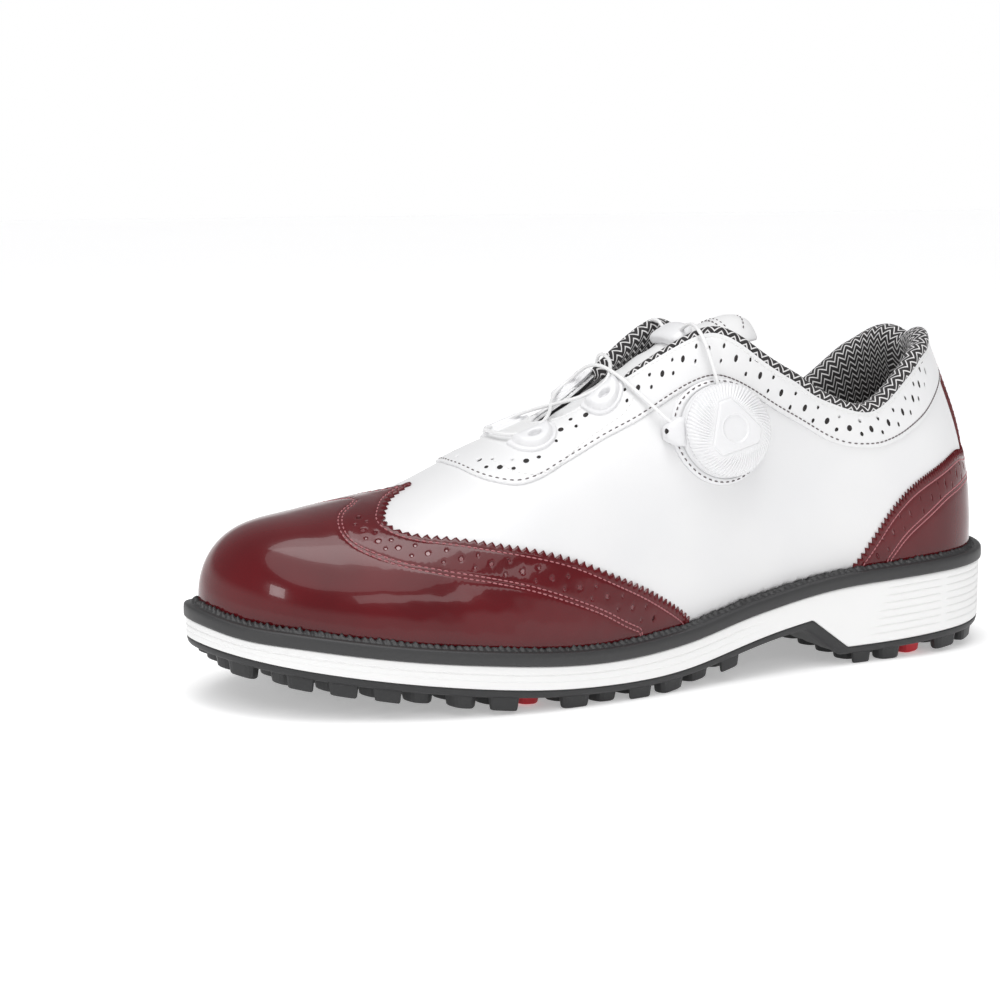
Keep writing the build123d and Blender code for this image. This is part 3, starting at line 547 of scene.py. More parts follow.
M_STITCHW, nt, b = material("thread_white", (.80, .80, .79), .6, **{"Sheen Weight": .2})
v = tex(nt, "ShaderNodeTexWave", 900.0)
add_bump(nt, b, v.outputs[0], .3, .0001)
M_STITCHR, nt, b = material("thread_burgundy", (.40, .13, .145), .5, **{"Sheen Weight": .2})
v = tex(nt, "ShaderNodeTexWave", 900.0)
add_bump(nt, b, v.outputs[0], .3, .0001)
M_STITCHG, nt, b = material("thread_grey", (.105, .085, .088), .6, **{"Sheen Weight": .2})
v = tex(nt, "ShaderNodeTexWave", 900.0)
add_bump(nt, b, v.outputs[0], .3, .0001)
M_STITCHK, nt, b = material("thread_black", (.018, .018, .019), .55, **{"Sheen Weight": .2})
v = tex(nt, "ShaderNodeTexWave", 900.0)
add_bump(nt, b, v.outputs[0], .3, .0001)

# moulded foam / white rubber midsole
M_FOAM, nt, b = material("foam_white", (.81, .81, .805), .46)
v = tex(nt, "ShaderNodeTexNoise", 900.0, Detail=3.0)
add_bump(nt, b, v.outputs[0], .12, .00012)
# darker grey painted shade meant for the engraved grooves; no part is given this material
M_GROOVE_SHADE, nt, b = material("foam_groove_painted_shade", (.60, .585, .575), .6)
v = tex(nt, "ShaderNodeTexNoise", 900.0)
add_bump(nt, b, v.outputs[0], .1, .0001)

M_BLACK, nt, b = material("rubber_black", (.016, .016, .017), .52)
v = tex(nt, "ShaderNodeTexNoise", 700.0, Detail=4.0)
add_bump(nt, b, v.outputs[0], .25, .0002)
M_RED, nt, b = material("rubber_red", (.50, .008, .020), .38)
v = tex(nt, "ShaderNodeTexNoise", 700.0)
add_bump(nt, b, v.outputs[0], .15, .0001)
M_WELT, nt, b = material("welt_black", (.030, .030, .031), .5)
v = tex(nt, "ShaderNodeTexNoise", 320.0, Detail=4.0)
add_bump(nt, b, v.outputs[0], .25, .0004)

M_PLASTIC, nt, b = material("plastic_white", (.79, .79, .80), .33, **{"Coat Weight": .25, "Coat Roughness": .2})
v = tex(nt, "ShaderNodeTexNoise", 1400.0)
add_bump(nt, b, v.outputs[0], .04, .0001)
M_LACE, nt, b = material("lace_white", (.83, .83, .83), .42, **{"Coat Weight": .3, "Coat Roughness": .25})
v = tex(nt, "ShaderNodeTexNoise", 1600.0)
add_bump(nt, b, v.outputs[0], .25, .0001)
M_LINING, nt, b = material("lining_fabric", (.055, .053, .054), .9, **{"Sheen Weight": .25, "Sheen Roughness": .5})
v = tex(nt, "ShaderNodeTexVoronoi", 900.0)
add_bump(nt, b, v.outputs["Distance"], .5, .0005)
M_SOCK, nt, b = material("sockliner_fabric", (.25, .24, .24), .9, **{"Sheen Weight": .3})
v = tex(nt, "ShaderNodeTexVoronoi", 800.0)
add_bump(nt, b, v.outputs["Distance"], .5, .0005)
M_STEEL, nt, b = material("steel", (.55, .55, .56), .3, Metallic=1.0)
v = tex(nt, "ShaderNodeTexNoise", 500.0)
add_bump(nt, b, v.outputs[0], .05, .0001)
M_HID = {}
for nm, base, ro in (("shank_plastic", (.03, .03, .032), .5), ("cork_filler", (.42, .27, .15), .85), ("board", (.55, .47, .36), .8),
                     ("stiffener", (.62, .60, .55), .7)):
    M_HID[nm], nt, b = material(nm, base, ro)
    v = tex(nt, "ShaderNodeTexNoise", 250.0, Detail=4.0)
    add_bump(nt, b, v.outputs[0], .3, .0003)

# herringbone collar cloth: white zig-zag lines on black, from the piece's own woven coordinates
M_HERR, nt, b = material("herringbone_textile", (.04, .038, .04), .82, **{"Sheen Weight": .15, "Sheen Roughness": .4})
at_n = nt.nodes.new("ShaderNodeAttribute")
at_n.attribute_name = "pat"
sp = nt.nodes.new("ShaderNodeSeparateXYZ")
nt.links.new(at_n.outputs["Vector"], sp.inputs[0])


def mth(op, a, b_=None, c=None):
    n = nt.nodes.new("ShaderNodeMath")
    n.operation = op
    for i, q in enumerate((a, b_, c)):
        if q is None:
            continue
        if isinstance(q, (int, float)):
            n.inputs[i].default_value = q
        else:
            nt.links.new(q, n.inputs[i])
    return n.outputs[0]


# x: along the collar, y: across it, both in mm
zz = mth("PINGPONG", sp.outputs[1], 2.35)                     # 0..2.05 each half period
ph = mth("ADD", sp.outputs[0], mth("MULTIPLY", zz, 1.1))
fr = mth("FRACT", mth("DIVIDE", ph, 2.3))
ln = mth("ABSOLUTE", mth("SUBTRACT", fr, .5))                  # 0 in the middle of a line
mr = nt.nodes.new("ShaderNodeMapRange")
mr.interpolation_type = "SMOOTHSTEP"
mr.inputs["From Min"].default_value, mr.inputs["From Max"].default_value = .10, .17
mr.inputs["To Min"].default_value, mr.inputs["To Max"].default_value = 1.0, 0.0
nt.links.new(ln, mr.inputs["Value"])
mx = nt.nodes.new("ShaderNodeMix")
mx.data_type = "RGBA"
nt.links.new(mr.outputs[0], mx.inputs["Factor"])
mx.inputs["A"].default_value = (.022, .020, .021, 1)
mx.inputs["B"].default_value = (.74, .73, .73, 1)
nt.links.new(mx.outputs["Result"], b.inputs["Base Color"])
n1 = add_bump(nt, b, mr.outputs[0], .5, .0002)
v = tex(nt, "ShaderNodeTexVoronoi", 1800.0)
add_bump(nt, b, v.outputs["Distance"], .25, .0002, n1)


def paint(node, mat):
    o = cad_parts.get(node)
    if o is None:
        return
    o.data.materials.clear()
    o.data.materials.append(mat)


for node, mat in (("shank", M_HID["shank_plastic"]), ("bottom_filler", M_HID["cork_filler"]), ("insole_board", M_HID["board"]),
                  ("toe_puff", M_HID["stiffener"]), ("heel_counter", M_HID["stiffener"]), ("dial_axle", M_STEEL), ("dial_spool", M_PLASTIC),
                  ("dial_carrier", M_PLASTIC), ("vamp_lining", M_LINING), ("quarter_lining_lateral", M_LINING),
                  ("quarter_lining_medial", M_LINING), ("lug_inserts", M_RED)):
    paint(node, mat)


# ------------------------------------------------------------------ upper
WING = [(-73.8, 68.4), (-83.0, 64.8), (-88.7, 62.1), (-91.2, 60.0), (-90.9, 58.1), (-88.0, 56.5), (-82.9, 55.3), (-74.6, 54.5),
        (-65.3, 53.3), (-56.1, 51.7), (-47.1, 49.8), (-37.5, 47.1), (-28.4, 43.5), (-18.3, 38.8), (-9.3, 34.4), (-1.5, 29.8),
        (5.2, 25.3), (8.6, 20.5)]
FOX = [(79.4, 33.5), (80.6, 34.2), (86.0, 40.0), (90.1, 45.1), (94.1, 50.2), (98.9, 55.2), (104.6, 59.8), (112.9, 64.2), (120.9, 67.7),
       (127.0, 70.0), (131, 70.1), (135, 69.7)]
TOPM = [(-24, 88.7), (-14, 93.8), (-6, 98.8), (0.8, 103.5), (8.9, 109.3), (16.0, 113.9), (20.9, 116.6),
        (26.4, 118.3), (31.8, 117.2), (37.3, 113.8), (44.5, 108.2), (52.8, 103.0), (57.4, 100.3), (63.4, 96.2), (71.2, 92.6),
        (78.2, 89.8), (84.6, 88.2), (89.8, 89.0), (95.2, 91.9), (100.9, 96.2), (106.2, 100.9), (110.6, 104.9), (115.0, 108.2)]
TOPL = [(-24, 88.7), (-14, 93.8), (-6, 98.8), (0.8, 103.5), (8.9, 109.3), (16.0, 113.9), (20.9, 116.6),
        (26.4, 118.3), (31.8, 117.2), (37.3, 113.8), (44.5, 108.2), (52.8, 103.0), (57.4, 100.3), (63.4, 96.2), (71.2, 92.8),
        (78.2, 90.3), (84.6, 89.3), (89.8, 90.8), (95.2, 94.4), (100.9, 99.3), (106.2, 103.6), (110.6, 107.4), (115.0, 109.8)]
BAND = [(-58.4, 72.8), (-54.7, 71.3), (-50.0, 70.4), (-46.2, 70.4), (-38.9, 72.3), (-31.9, 75.4), (-23.5, 79.2),
        (-13.9, 83.9), (-3.4, 88.8), (4.6, 93.4), (12.4, 98.0), (18.1, 100.7), (24.1, 102.2), (30.0, 101.0), (36.5, 97.8),
        (42.4, 94.1), (48.2, 90.6), (58.7, 84.9), (64.9, 81.4), (70.8, 78.7), (77.1, 76.9), (83.0, 76.2), (89.4, 76.0),
        (94.6, 76.9), (99.9, 78.7), (105.4, 81.6), (110.4, 84.8), (114.4, 88.4), (118.1, 92.3), (124.0, 98.5)]
CAPST = [(-95.2, 62.7), (-100.7, 61.1), (-104.3, 58.8), (-105.3, 56.0), (-103.9, 53.2), (-99.4, 50.5), (-91.7, 47.6), (-83.3, 45.7),
         (-68.0, 42.7), (-53.4, 39.4), (-40.2, 34.9), (-26.2, 29.0), (-18.7, 24.8), (-11.9, 21.6)]
WPERF = [(-97.6, 59.9), (-98.6, 57.0), (-95.6, 54.3), (-90.4, 52.4), (-82, 50.8), (-72.4, 49.2), (-63.5, 47.5), (-53.9, 45.0), (-44.4, 42.3), (-34.7, 38.7),
         (-24.7, 34.9), (-15.0, 30.4), (-6.5, 25.7)]
BPERF = [(-53.6, 76.2), (-49.9, 74.7), (-41.4, 76.6), (-33.7, 80.7), (-25.6, 85.5), (-16.4, 90.1), (-7.3, 94.5), (0.9, 99.2),
         (8.9, 103.9), (16.0, 108.8), (24.5, 112.0), (33.3, 108.9), (41.6, 103.0), (49.4, 96.9), (58.7, 91.3), (67.8, 86.4),
         (77.2, 83.4), (86.5, 82.6), (93.9, 84.4), (100.2, 87.8), (105.1, 92.2), (108.4, 97.0), (112.3, 101.4)]
FOXST = [(93.8, 35.8), (100.1, 42.9), (105.7, 47.5), (112.9, 52.3), (120.5, 57.1), (127.4, 59.8), (132.6, 61.6), (137.0, 62.4)]
FPERF = [(89.5, 37.3), (96.1, 45.4), (103.2, 51.7), (112.9, 56.7), (119.5, 61.1), (126.0, 63.9), (132.0, 65.6), (137.0, 66.4)]


def crest_L(x=None, z=None, back=False):
    c = _P[:, 120]
    if x is not None:
        return float(np.interp(x, c[:, 0], _L))
    top_i = int(np.argmax(c[:, 2]))
    m = np.arange(len(c)) > top_i if back else np.arange(len(c)) < top_i
    o = np.argsort(c[m, 2])
    return float(np.interp(z, c[m, 2][o], _L[m][o]))


def both(pts, start=None, end=None, step=.6, medial=None):
    """the lateral and medial runs of a side-view line, from the crest point outwards; start/end are sheet points on the crest"""
    out = []
    for side in (-1, 1):
        q = sheet_xz(medial if medial and side > 0 else pts, side)
        if start is not None:
            q = np.vstack([[start], q])
        if end is not None:
            q = np.vstack([q, [end]])
        out.append(smooth_curve(q, step))
    return out


LH = float(_L[-1])
edge_u = np.linspace(_U[0], _U[-1], 700)


def edge(side, L0, L1, step=1.0):
    """the lasting edge from L0 to L1"""
    Lw = np.interp(edge_u, _U, _L)
    sw = -np.interp(edge_u, _U, _sl) if side < 0 else np.interp(edge_u, _U, _sm)
    t = np.linspace(L0, L1, 900)
    return resample(np.stack([t, np.interp(t, Lw, sw)], -1), step)


def to_edge(q):
    """cuts a line where it meets the lasting edge and ends it exactly there"""
    q = np.asarray(q)
    lim = np.where(q[:, 1] < 0, np.interp(q[:, 0], _L, _sl), np.interp(q[:, 0], _L, _sm))
    ok = np.abs(q[:, 1]) < lim - .25
    n = len(q) if ok.all() else int(np.argmin(ok))
    n = max(n, 2)
    q = q[:n]
    L = q[-1, 0]
    s = np.interp(L, _L, _sl) * -1 if q[-1, 1] < 0 else np.interp(L, _L, _sm)
    return np.vstack([q, [[L, s]]])


mouth_l, mouth_m = both(TOPL, (crest_L(x=-30.0), 0.0), (crest_L(z=110.4, back=True), 0.0), .7, TOPM)
MOUTH = np.vstack([mouth_l, mouth_m[::-1][1:-1]])
for _ in range(6):                                   # round the two ends where the runs meet
    MOUTH = MOUTH * .5 + (np.roll(MOUTH, 1, 0) + np.roll(MOUTH, -1, 0)) * .25
MOUTH = resample(MOUTH, .7, True)
LENS = np.vstack([edge(-1, 0, LH), edge(1, LH, 0)])
band_l, band_m = both(BAND, (crest_L(x=-60.5), 0.0), (crest_L(z=99.5, back=True), 0.0), .7)
BANDO = np.vstack([band_l, band_m[::-1][1:-1]])
for _ in range(6):
    BANDO = BANDO * .5 + (np.roll(BANDO, 1, 0) + np.roll(BANDO, -1, 0)) * .25


def offset_line(q, d, closed=False):
    q = np.asarray(q)
    r = q + normals2(q, closed) * d
    for _ in range(3):
        if closed:
            r = r * .5 + (np.roll(r, 1, 0) + np.roll(r, -1, 0)) * .25
        else:
            r[1:-1] = r[1:-1] * .5 + (r[2:] + r[:-2]) * .25
    return r


def signed_in(loop, other):
    """sign of the offset that moves loop towards the point other"""
    n = normals2(loop, True)
    i = len(loop) // 4
    a = np.linalg.norm(loop[i] + n[i] - other)
    return 1 if a < np.linalg.norm(loop[i] - other) else -1


MID_M = np.array([crest_L(x=20.0), 0.0])
sgn_b = signed_in(BANDO, MID_M)
band_st = offset_line(BANDO, 1.3 * sgn_b, True)                   # outer stitch row, just inside the band's edge
sgn_m = -signed_in(MOUTH, MID_M)
seam_at = offset_line(MOUTH, 1.9 * sgn_m, True)                   # stitch row beside the piping

leather = sheet_mesh("upper_leather", [resample(LENS, 1.0, True), MOUTH], -1.3, 1.3, M_WHITE, grid=2.1, edge_w=.6, attrs=False)
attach(leather, "root")
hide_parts("vamp", "quarter_lateral", "quarter_medial")

lining = sheet_mesh("lining", [resample(LENS, 2.0, True), resample(MOUTH, 1.2, True)], -3.4, .9, M_LINING, grid=3.0)
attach(lining, "root")
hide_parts("vamp_lining", "quarter_lining_lateral", "quarter_lining_medial")


# perforation rows
def perf_row(pts, side, half_gap, r_big, r_small, skip=None, start=0):
    q = sheet_xz(pts, side)
    out = []
    t = normals2(q)
    for i, c in enumerate(q):
        if skip is None or not skip(c):
            out.append((tuple(c), r_big, 14))
        if i + 1 < len(q):
            m, n = (q[i] + q[i + 1]) / 2, (t[i] + t[i + 1])
            n = n / np.linalg.norm(n)
            for sg in (1, -1):
                p = m + n * half_gap * sg
                if skip is None or not skip(p):
                    out.append((tuple(p), r_small, 10))
    return out


dc = sheet_xz([(28.2, 85.1)], -1)[0]
holes = [((crest_L(x=-56.5), 0.0), .68, 14)]
for sd in (-1, 1):
    holes += perf_row(BPERF, sd, 2.25, .70, .40)
lim_strip = crest_L(z=103.0, back=True)
band = sheet_mesh("facing_band", [resample(BANDO, .8, True), MOUTH], 0.02, 1.0, M_WHITE, grid=1.9, lines=[np.vstack([band_st, band_st[:1]]), np.vstack([seam_at, seam_at[:1]])],
                  line_depth=.22, holes=holes, edge_w=.9, edge_keep=.35)
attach(band, "root")
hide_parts("facing_band")
# black cloth strip behind the perforations
strips = []
for sd in (-1, 1):
    q = smooth_curve(sheet_xz(BPERF, sd), 1.0)
    n = normals2(q)
    loop = np.vstack([q + n * 2.7, (q - n * 2.7)[::-1]])
    strips.append(loop)
for i, loop in enumerate(strips):
    o = sheet_mesh("perforation_backing_%d" % i, [loop], .3, .6, M_PERF_AND_PORT_SHADE, grid=2.6, edge_w=.2)
    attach(o, "root")
o = stitch_mesh("band_stitches", [np.vstack([band_st, band_st[:1]])], .78, M_STITCHG, pitch=2.75, length=1.75, rad=.26)
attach(o, "root")
# piping seam only where the collar is white-on-black it is nearly hidden; white thread
o = stitch_mesh("topline_stitches", [np.vstack([seam_at, seam_at[:1]])], .78, M_STITCHW, pitch=2.4, length=1.6, rad=.22)
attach(o, "root")

# toe cap
wing_l, wing_m = both(WING, (crest_L(x=-73.0), 0.0), None, .5)
cap_sides, cap_rows, cap_in1, cap_in2 = [], [], [], []
for q, side in ((wing_l, -1), (wing_m, 1)):
    n = normals2(q)
    back = 1 if ((q[60] + n[60])[0] > q[60][0] or abs((q[60] + n[60])[1]) < abs(q[60][1])) else -1
    # towards the middle of the shoe is where |s| falls
    back = 1 if abs((q[200] + n[200])[1]) < abs(q[200][1]) else -1
    z = pink(q, 3.35, 1.55, back)
    cap_sides.append(to_edge(z))
    row = offset_line(q, -1.55 * back)
    cap_rows.append(to_edge(row[8:]))
cs_l, cs_m = both(CAPST, (crest_L(x=-93.2), 0.0), None, .6)
for q in (cs_l, cs_m):
    cap_in1.append(to_edge(q))
    n = normals2(q)
    back = 1 if abs((q[100] + n[100])[1]) < abs(q[100][1]) else -1
    cap_in2.append(to_edge(offset_line(q, 1.25 * back)[4:]))
l_end, m_end = cap_sides[0][-1], cap_sides[1][-1]
CAP = np.vstack([cap_sides[0], edge(-1, l_end[0], 0)[1:], edge(1, 0, m_end[0])[:-1], cap_sides[1][::-1][:-1]])
cap_holes = []
for sd in (-1, 1):
    cap_holes += perf_row(WPERF, sd, 2.0, .62, .34)


def cap_puff(P, v2, dd):
    """patent leather isn't dead flat: slow waves, stronger between the two seams, fading on the toe"""
    w = np.clip((P[:, 0] + 118) / 40, 0, 1)
    a = np.sin(P[:, 0] * .31 + P[:, 2] * .47) * np.sin(P[:, 0] * .13 - P[:, 2] * .29 + 1.0)
    c = np.sin(P[:, 0] * .83 + P[:, 1] * .3) * np.sin(P[:, 2] * .7 + P[:, 0] * .22)
    return (.085 * a + .035 * c) * w * np.clip(dd / 2.5, 0, 1)


cap = sheet_mesh("toe_cap", [CAP], 0.02, 1.1, M_PATENT, grid=1.35, lines=cap_rows + cap_in1 + cap_in2, line_depth=.26, line_w=.6,
                 holes=cap_holes, edge_w=.8, edge_keep=.35, puff=cap_puff)
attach(cap, "root")
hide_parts("toe_cap")
for i, sd in enumerate((-1, 1)):
    q = smooth_curve(sheet_xz(WPERF, sd), 1.0)
    n = normals2(q)
    loop = np.vstack([q + n * 3.1, (q - n * 3.1)[::-1]])
    o = sheet_mesh("cap_backing_%d" % i, [loop], .05, .66, M_PERFRED, grid=2.4, edge_w=.2)
    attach(o, "root")
o = stitch_mesh("cap_stitches", cap_rows + cap_in1 + cap_in2, .86, M_STITCHR, pitch=2.3, length=1.7, rad=.25)
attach(o, "root")

# heel foxing
fz = crest_L(z=69.6, back=True)
fox_l, fox_m = both(FOX, None, (fz, 0.0), .5)
fx_sides, fx_rows, fx_in, fx_in2 = [], [], [], []
for q, side in ((fox_l, -1), (fox_m, 1)):
    n = normals2(q)
    back = 1 if (q[60] + n[60])[0] < q[60][0] else -1            # towards the toe
    z = pink(q[::-1], 3.0, 1.35, -back)
    fx_sides.append(to_edge(z))
    fx_rows.append(to_edge(offset_line(q[::-1], 1.5 * back)[3:]))
fs_l, fs_m = both(FOXST, None, (crest_L(z=62.6, back=True), 0.0), .6)
for q in (fs_l, fs_m):
    fx_in.append(to_edge(q[::-1]))
    n = normals2(q)
    back = 1 if (q[60] + n[60])[0] < q[60][0] else -1
    fx_in2.append(to_edge(offset_line(q, -1.2 * back)[::-1]))
FOXL = np.vstack([fx_sides[0], edge(-1, fx_sides[0][-1, 0], LH)[1:], edge(1, LH, fx_sides[1][-1, 0])[:-1], fx_sides[1][::-1][:-1]])
fox_holes = []
for sd in (-1, 1):
    fox_holes += perf_row(FPERF, sd, 1.9, .60, .34)


def fox_puff(P, v2, dd):
    a = np.sin(P[:, 0] * .27 + P[:, 2] * .33) * np.sin(P[:, 0] * .17 - P[:, 2] * .22 + 1.0)
    return .06 * a * np.clip(dd / 2.5, 0, 1)


fox = sheet_mesh("heel_foxing", [FOXL], 0.02, 1.1, M_PATENT, grid=1.35, lines=fx_rows + fx_in + fx_in2, line_depth=.26, line_w=.6,
                 holes=fox_holes, edge_w=.8, edge_keep=.35, puff=fox_puff)
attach(fox, "root")
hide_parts("heel_foxing")
for i, sd in enumerate((-1, 1)):
    q = smooth_curve(sheet_xz(FPERF, sd), 1.0)
    n = normals2(q)
    loop = np.vstack([q + n * 3.0, (q - n * 3.0)[::-1]])
    o = sheet_mesh("foxing_backing_%d" % i, [loop], .05, .66, M_PERFRED, grid=2.4, edge_w=.2)
    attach(o, "root")
o = stitch_mesh("foxing_stitches", fx_rows + fx_in + fx_in2, .86, M_STITCHR, pitch=2.3, length=1.7, rad=.25)
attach(o, "root")

# strip up the back
b0, b1 = crest_L(z=67.5, back=True), crest_L(z=110.0, back=True)
bl = np.linspace(b0, b1, 40)
bw = np.interp(bl, [min(b0, b1), max(b0, b1)], [12.5, 14.5] if b1 < b0 else [14.5, 12.5])
STRIP = np.vstack([np.stack([bl, -bw], -1), np.stack([bl[::-1], bw[::-1]], -1)])
STRIP = resample(STRIP, .8, True)
st_rows = [np.stack([bl, -(bw - 1.3)], -1), np.stack([bl, bw - 1.3], -1)]
strip = sheet_mesh("back_strip", [STRIP], 0.05, 1.75, M_PATENT, grid=1.4, lines=st_rows, line_depth=.25, edge_w=.8, edge_keep=.5)
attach(strip, "root")
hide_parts("back_strip")
o = stitch_mesh("back_strip_stitches", st_rows, 1.58, M_STITCHR, pitch=2.3, length=1.7, rad=.25)
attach(o, "root")

# ------------------------------------------------------------------ padded collar in herringbone cloth
# the part of the top line behind x = 0, run from the lateral front end round the heel to the medial front end
ml, mm_ = MOUTH, None
P3 = at(ml)[0]
start_l = int(np.argmin(np.where(ml[:, 1] < 0, np.abs(P3[:, 0] + 1.5), 1e9)))
start_m = int(np.argmin(np.where(ml[:, 1] > 0, np.abs(P3[:, 0] + 1.5), 1e9)))
far = int(np.argmax(P3[:, 0]))
order = []
i = start_l
stepd = 1 if (far - start_l) % len(ml) < (start_l - far) % len(ml) else -1
while i != start_m:
    order.append(i)
    i = (i + stepd) % len(ml)
order.append(start_m)
TL = ml[order]
TL = resample(TL, .8)
TL = smooth_curve(TL[::6], .8)
X3 = at(TL)[0]
Wd = normals2(TL)                                     # sheet direction across the line
if abs((TL[20] + Wd[20])[1]) > abs(TL[20][1]):
    down = Wd
else:
    down = -Wd                                        # towards the lasting edge: d > 0
# sections as (d, lift): outer edge, over the top, inside, down the lining, and back up behind
THIN = np.array([(.9, .95), (.55, 1.22), (.1, 1.38), (-.4, 1.3), (-.9, .98), (-1.3, .4), (-1.45, -.3), (-1.4, -1.2), (-1.15, -2.1), (-.8, -2.9), (.2, -3.5),
                 (1.8, -3.9), (3.8, -4.05), (6, -4.0), (8.5, -3.9), (11, -3.75), (13.5, -3.6), (15.5, -3.45), (16, -3.2), (15, -2.9), (9, -2.4), (3, -1.2), (1.2, .2)])
THICK = np.array([(.9, .95), (.45, 1.3), (-.2, 1.55), (-.9, 1.4), (-1.5, .9), (-1.9, .05), (-2.1, -1.1), (-2.1, -2.6), (-1.7, -4.2), (-.6, -5.6), (1.0, -6.6),
                  (4.0, -7.3), (7.5, -7.6), (11, -7.4), (14.5, -6.8), (18, -5.9), (21.5, -4.8), (24.5, -3.9), (25.2, -3.3), (23, -2.9), (12, -2.5), (3, -1.3), (1.2, .2)])
wgt = np.clip((X3[:, 0] - 22) / 46, 0, 1)
wgt = wgt * wgt * (3 - 2 * wgt)
n_i = len(TL)
tap = np.ones(n_i)
for k in range(4):
    tap[k] = tap[-1 - k] = math.sqrt(1 - (1 - (k + .6) / 4.6) ** 2)
sec = THIN[None] * (1 - wgt)[:, None, None] + THICK[None] * wgt[:, None, None]
# rounder cross sections: subdivide the section smoothly
def dens(c):
    return smooth_curve(c, .8, True) if False else c


sec_d = []
for i in range(n_i):
    c = sec[i]
    cc = np.vstack([c[-2:], c, c[:3]])
    t = np.arange(len(cc), dtype=float)
    tt = np.arange(2, 2 + len(c), .5)
    sec_d.append(np.stack([cub(t, cc[:, 0])(tt), cub(t, cc[:, 1])(tt)], -1))
sec_d = np.array(sec_d)
mid_c = np.array([-.2, -1.0])
sec_d = mid_c + (sec_d - mid_c) * tap[:, None, None]
Q = TL[:, None, :] + down[:, None, :] * sec_d[:, :, :1]
# d at the inside follows the surface in the sheet; keep neighbours from crossing where the line turns tightly
for _ in range(4):
    Q[1:-1] = Q[1:-1] * .5 + (Q[2:] + Q[:-2]) * .25
uu, tt_ = to_uth(Q[..., 0], Q[..., 1])
lift_w = sec_d[:, :, 1]
C3 = S(uu, tt_) + Nrm(uu, tt_) * lift_w[..., None]
alongd = np.concatenate([[0], np.cumsum(np.linalg.norm(np.diff(X3, axis=0), axis=1))])
acr = np.concatenate([np.zeros((n_i, 1)), np.cumsum(np.linalg.norm(np.diff(C3, axis=1), axis=-1), 1)], 1)
pat = np.zeros((n_i, C3.shape[1], 3))
pat[..., 0] = acr
pat[..., 1] = alongd[:, None]
collar = grid_mesh("collar", C3, M_HERR, closed_v=True, caps=True, attrs={"pat": pat.reshape(-1, 3)})
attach(collar, "root")
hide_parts("collar_roll", "collar_pad_lateral", "collar_pad_medial")

# ------------------------------------------------------------------ tongue
TONG = [(-44, 76.4, 18, 5.0), (-36, 79.9, 18.5, 5.8), (-28, 84.4, 18.6, 6.6), (-20, 88.9, 18.4, 7.2), (-12, 93.9, 17.8, 7.4), (4, 103.4, 16.6, 7.2),
        (20, 112.4, 15.6, 7.0), (31, 117.2, 15.0, 7.0), (42, 121.0, 14.8, 7.2), (47.5, 121.9, 14.2, 7.0), (52.5, 120.6, 12.6, 5.8)]
tx, tz, tw, td = (np.array(c, float) for c in zip(*TONG))
ft_z, ft_w, ft_d = cub(tx, tz), cub(tx, tw), cub(tx, td)
xs = np.concatenate([np.linspace(-44, 38, 66), np.linspace(39, 52.2, 30)])
ring = np.linspace(0, 2 * math.pi, 72, endpoint=False)
TP = np.zeros((len(xs), 72, 3))
for i, x in enumerate(xs):
    w = ft_w(x)
    if x > 41:
        w *= math.sqrt(max(0, 1 - ((x - 41) / 12.0) ** 2.6)) * .3 + .7
    thick = np.interp(x, [-44, -38, 36, 42, 52.2], [2.6, 4.2, 4.2, 2.9, 2.3])
    if x > 50.6:
        thick *= math.sqrt(max(.05, 1 - ((x - 50.6) / 1.75) ** 2))
    c, s = np.cos(ring), np.sin(ring)
    v = np.sign(c) * np.abs(c) ** .72
    y = w * v
    z = ft_z(x) - ft_d(x) * v * v - thick / 2 + thick / 2 * np.sign(s) * np.abs(s) ** .62
    z += np.where(s > 0, .28 * np.sin(x * .62) * (1 - v * v) * (1 if x < 40 else 0), 0)        # soft cross quilting
    TP[i] = np.stack([np.full(72, x), y, z], -1)
tongue = grid_mesh("tongue_pad", TP, M_WHITE, closed_v=True, caps=True)
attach(tongue, "tongue")
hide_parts("tongue", "tongue_tab")


def on_tongue(q, lift):
    """q: (x, v) on the tongue's top face"""
    q = np.asarray(q, float)
    x, v = q[:, 0], q[:, 1] / ft_w(q[:, 0])
    p = np.stack([x, q[:, 1], ft_z(x) - ft_d(x) * v * v + lift - .25], -1)
    e = .2
    dx = np.stack([np.full(len(x), 2 * e), np.zeros(len(x)), ft_z(x + e) - ft_z(x - e)], -1)
    dy = np.stack([np.zeros(len(x)), np.full(len(x), 1.0), -2 * ft_d(x) * v / ft_w(x)], -1)
    n = np.cross(dx, dy)
    return p, n / np.linalg.norm(n, axis=1, keepdims=True)


yy = np.linspace(-11.2, 11.2, 40)
tab_lines = [np.stack([49.6 - .028 * yy ** 2, yy], -1), np.stack([np.full(40, 38.6) + .004 * yy ** 2, yy], -1), np.stack([np.full(40, 40.4) + .004 * yy ** 2, yy], -1)]
o = stitch_mesh("tongue_tab_stitches", tab_lines, .22, M_STITCHG, pitch=2.5, length=1.6, rad=.2, mapping=on_tongue)
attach(o, "tongue")
ex = np.linspace(-30, 37, 60)
side_l = [np.stack([ex, sg * (ft_w(ex) - 2.6)], -1) for sg in (-1, 1)]
o = stitch_mesh("tongue_edge_stitches", side_l, .1, M_STITCHW, pitch=2.5, length=1.6, rad=.2, mapping=on_tongue)
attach(o, "tongue")


# ------------------------------------------------------------------ points on the upper, as the lace route needs them
def skin(x, dy, lift=0.0):
    u = math.acos((XM - x) / XR)
    y = float(f_mid(u) + f_k(u) + dy)
    p = S(u, _T)
    th = float(np.interp(y, p[:, 1], _T))
    n = Nrm(u, th)
    return S(u, th) + n * lift, n, to_sheet(np.array([u]), np.array([th]))[0]


def wall(x, z, side, lift=0.0):
    u, th = xz_uth(np.array([x]), np.array([z]), side)
    n = Nrm(u, th)[0]
    return S(u, th)[0] + n * lift, n, to_sheet(u, th)[0]


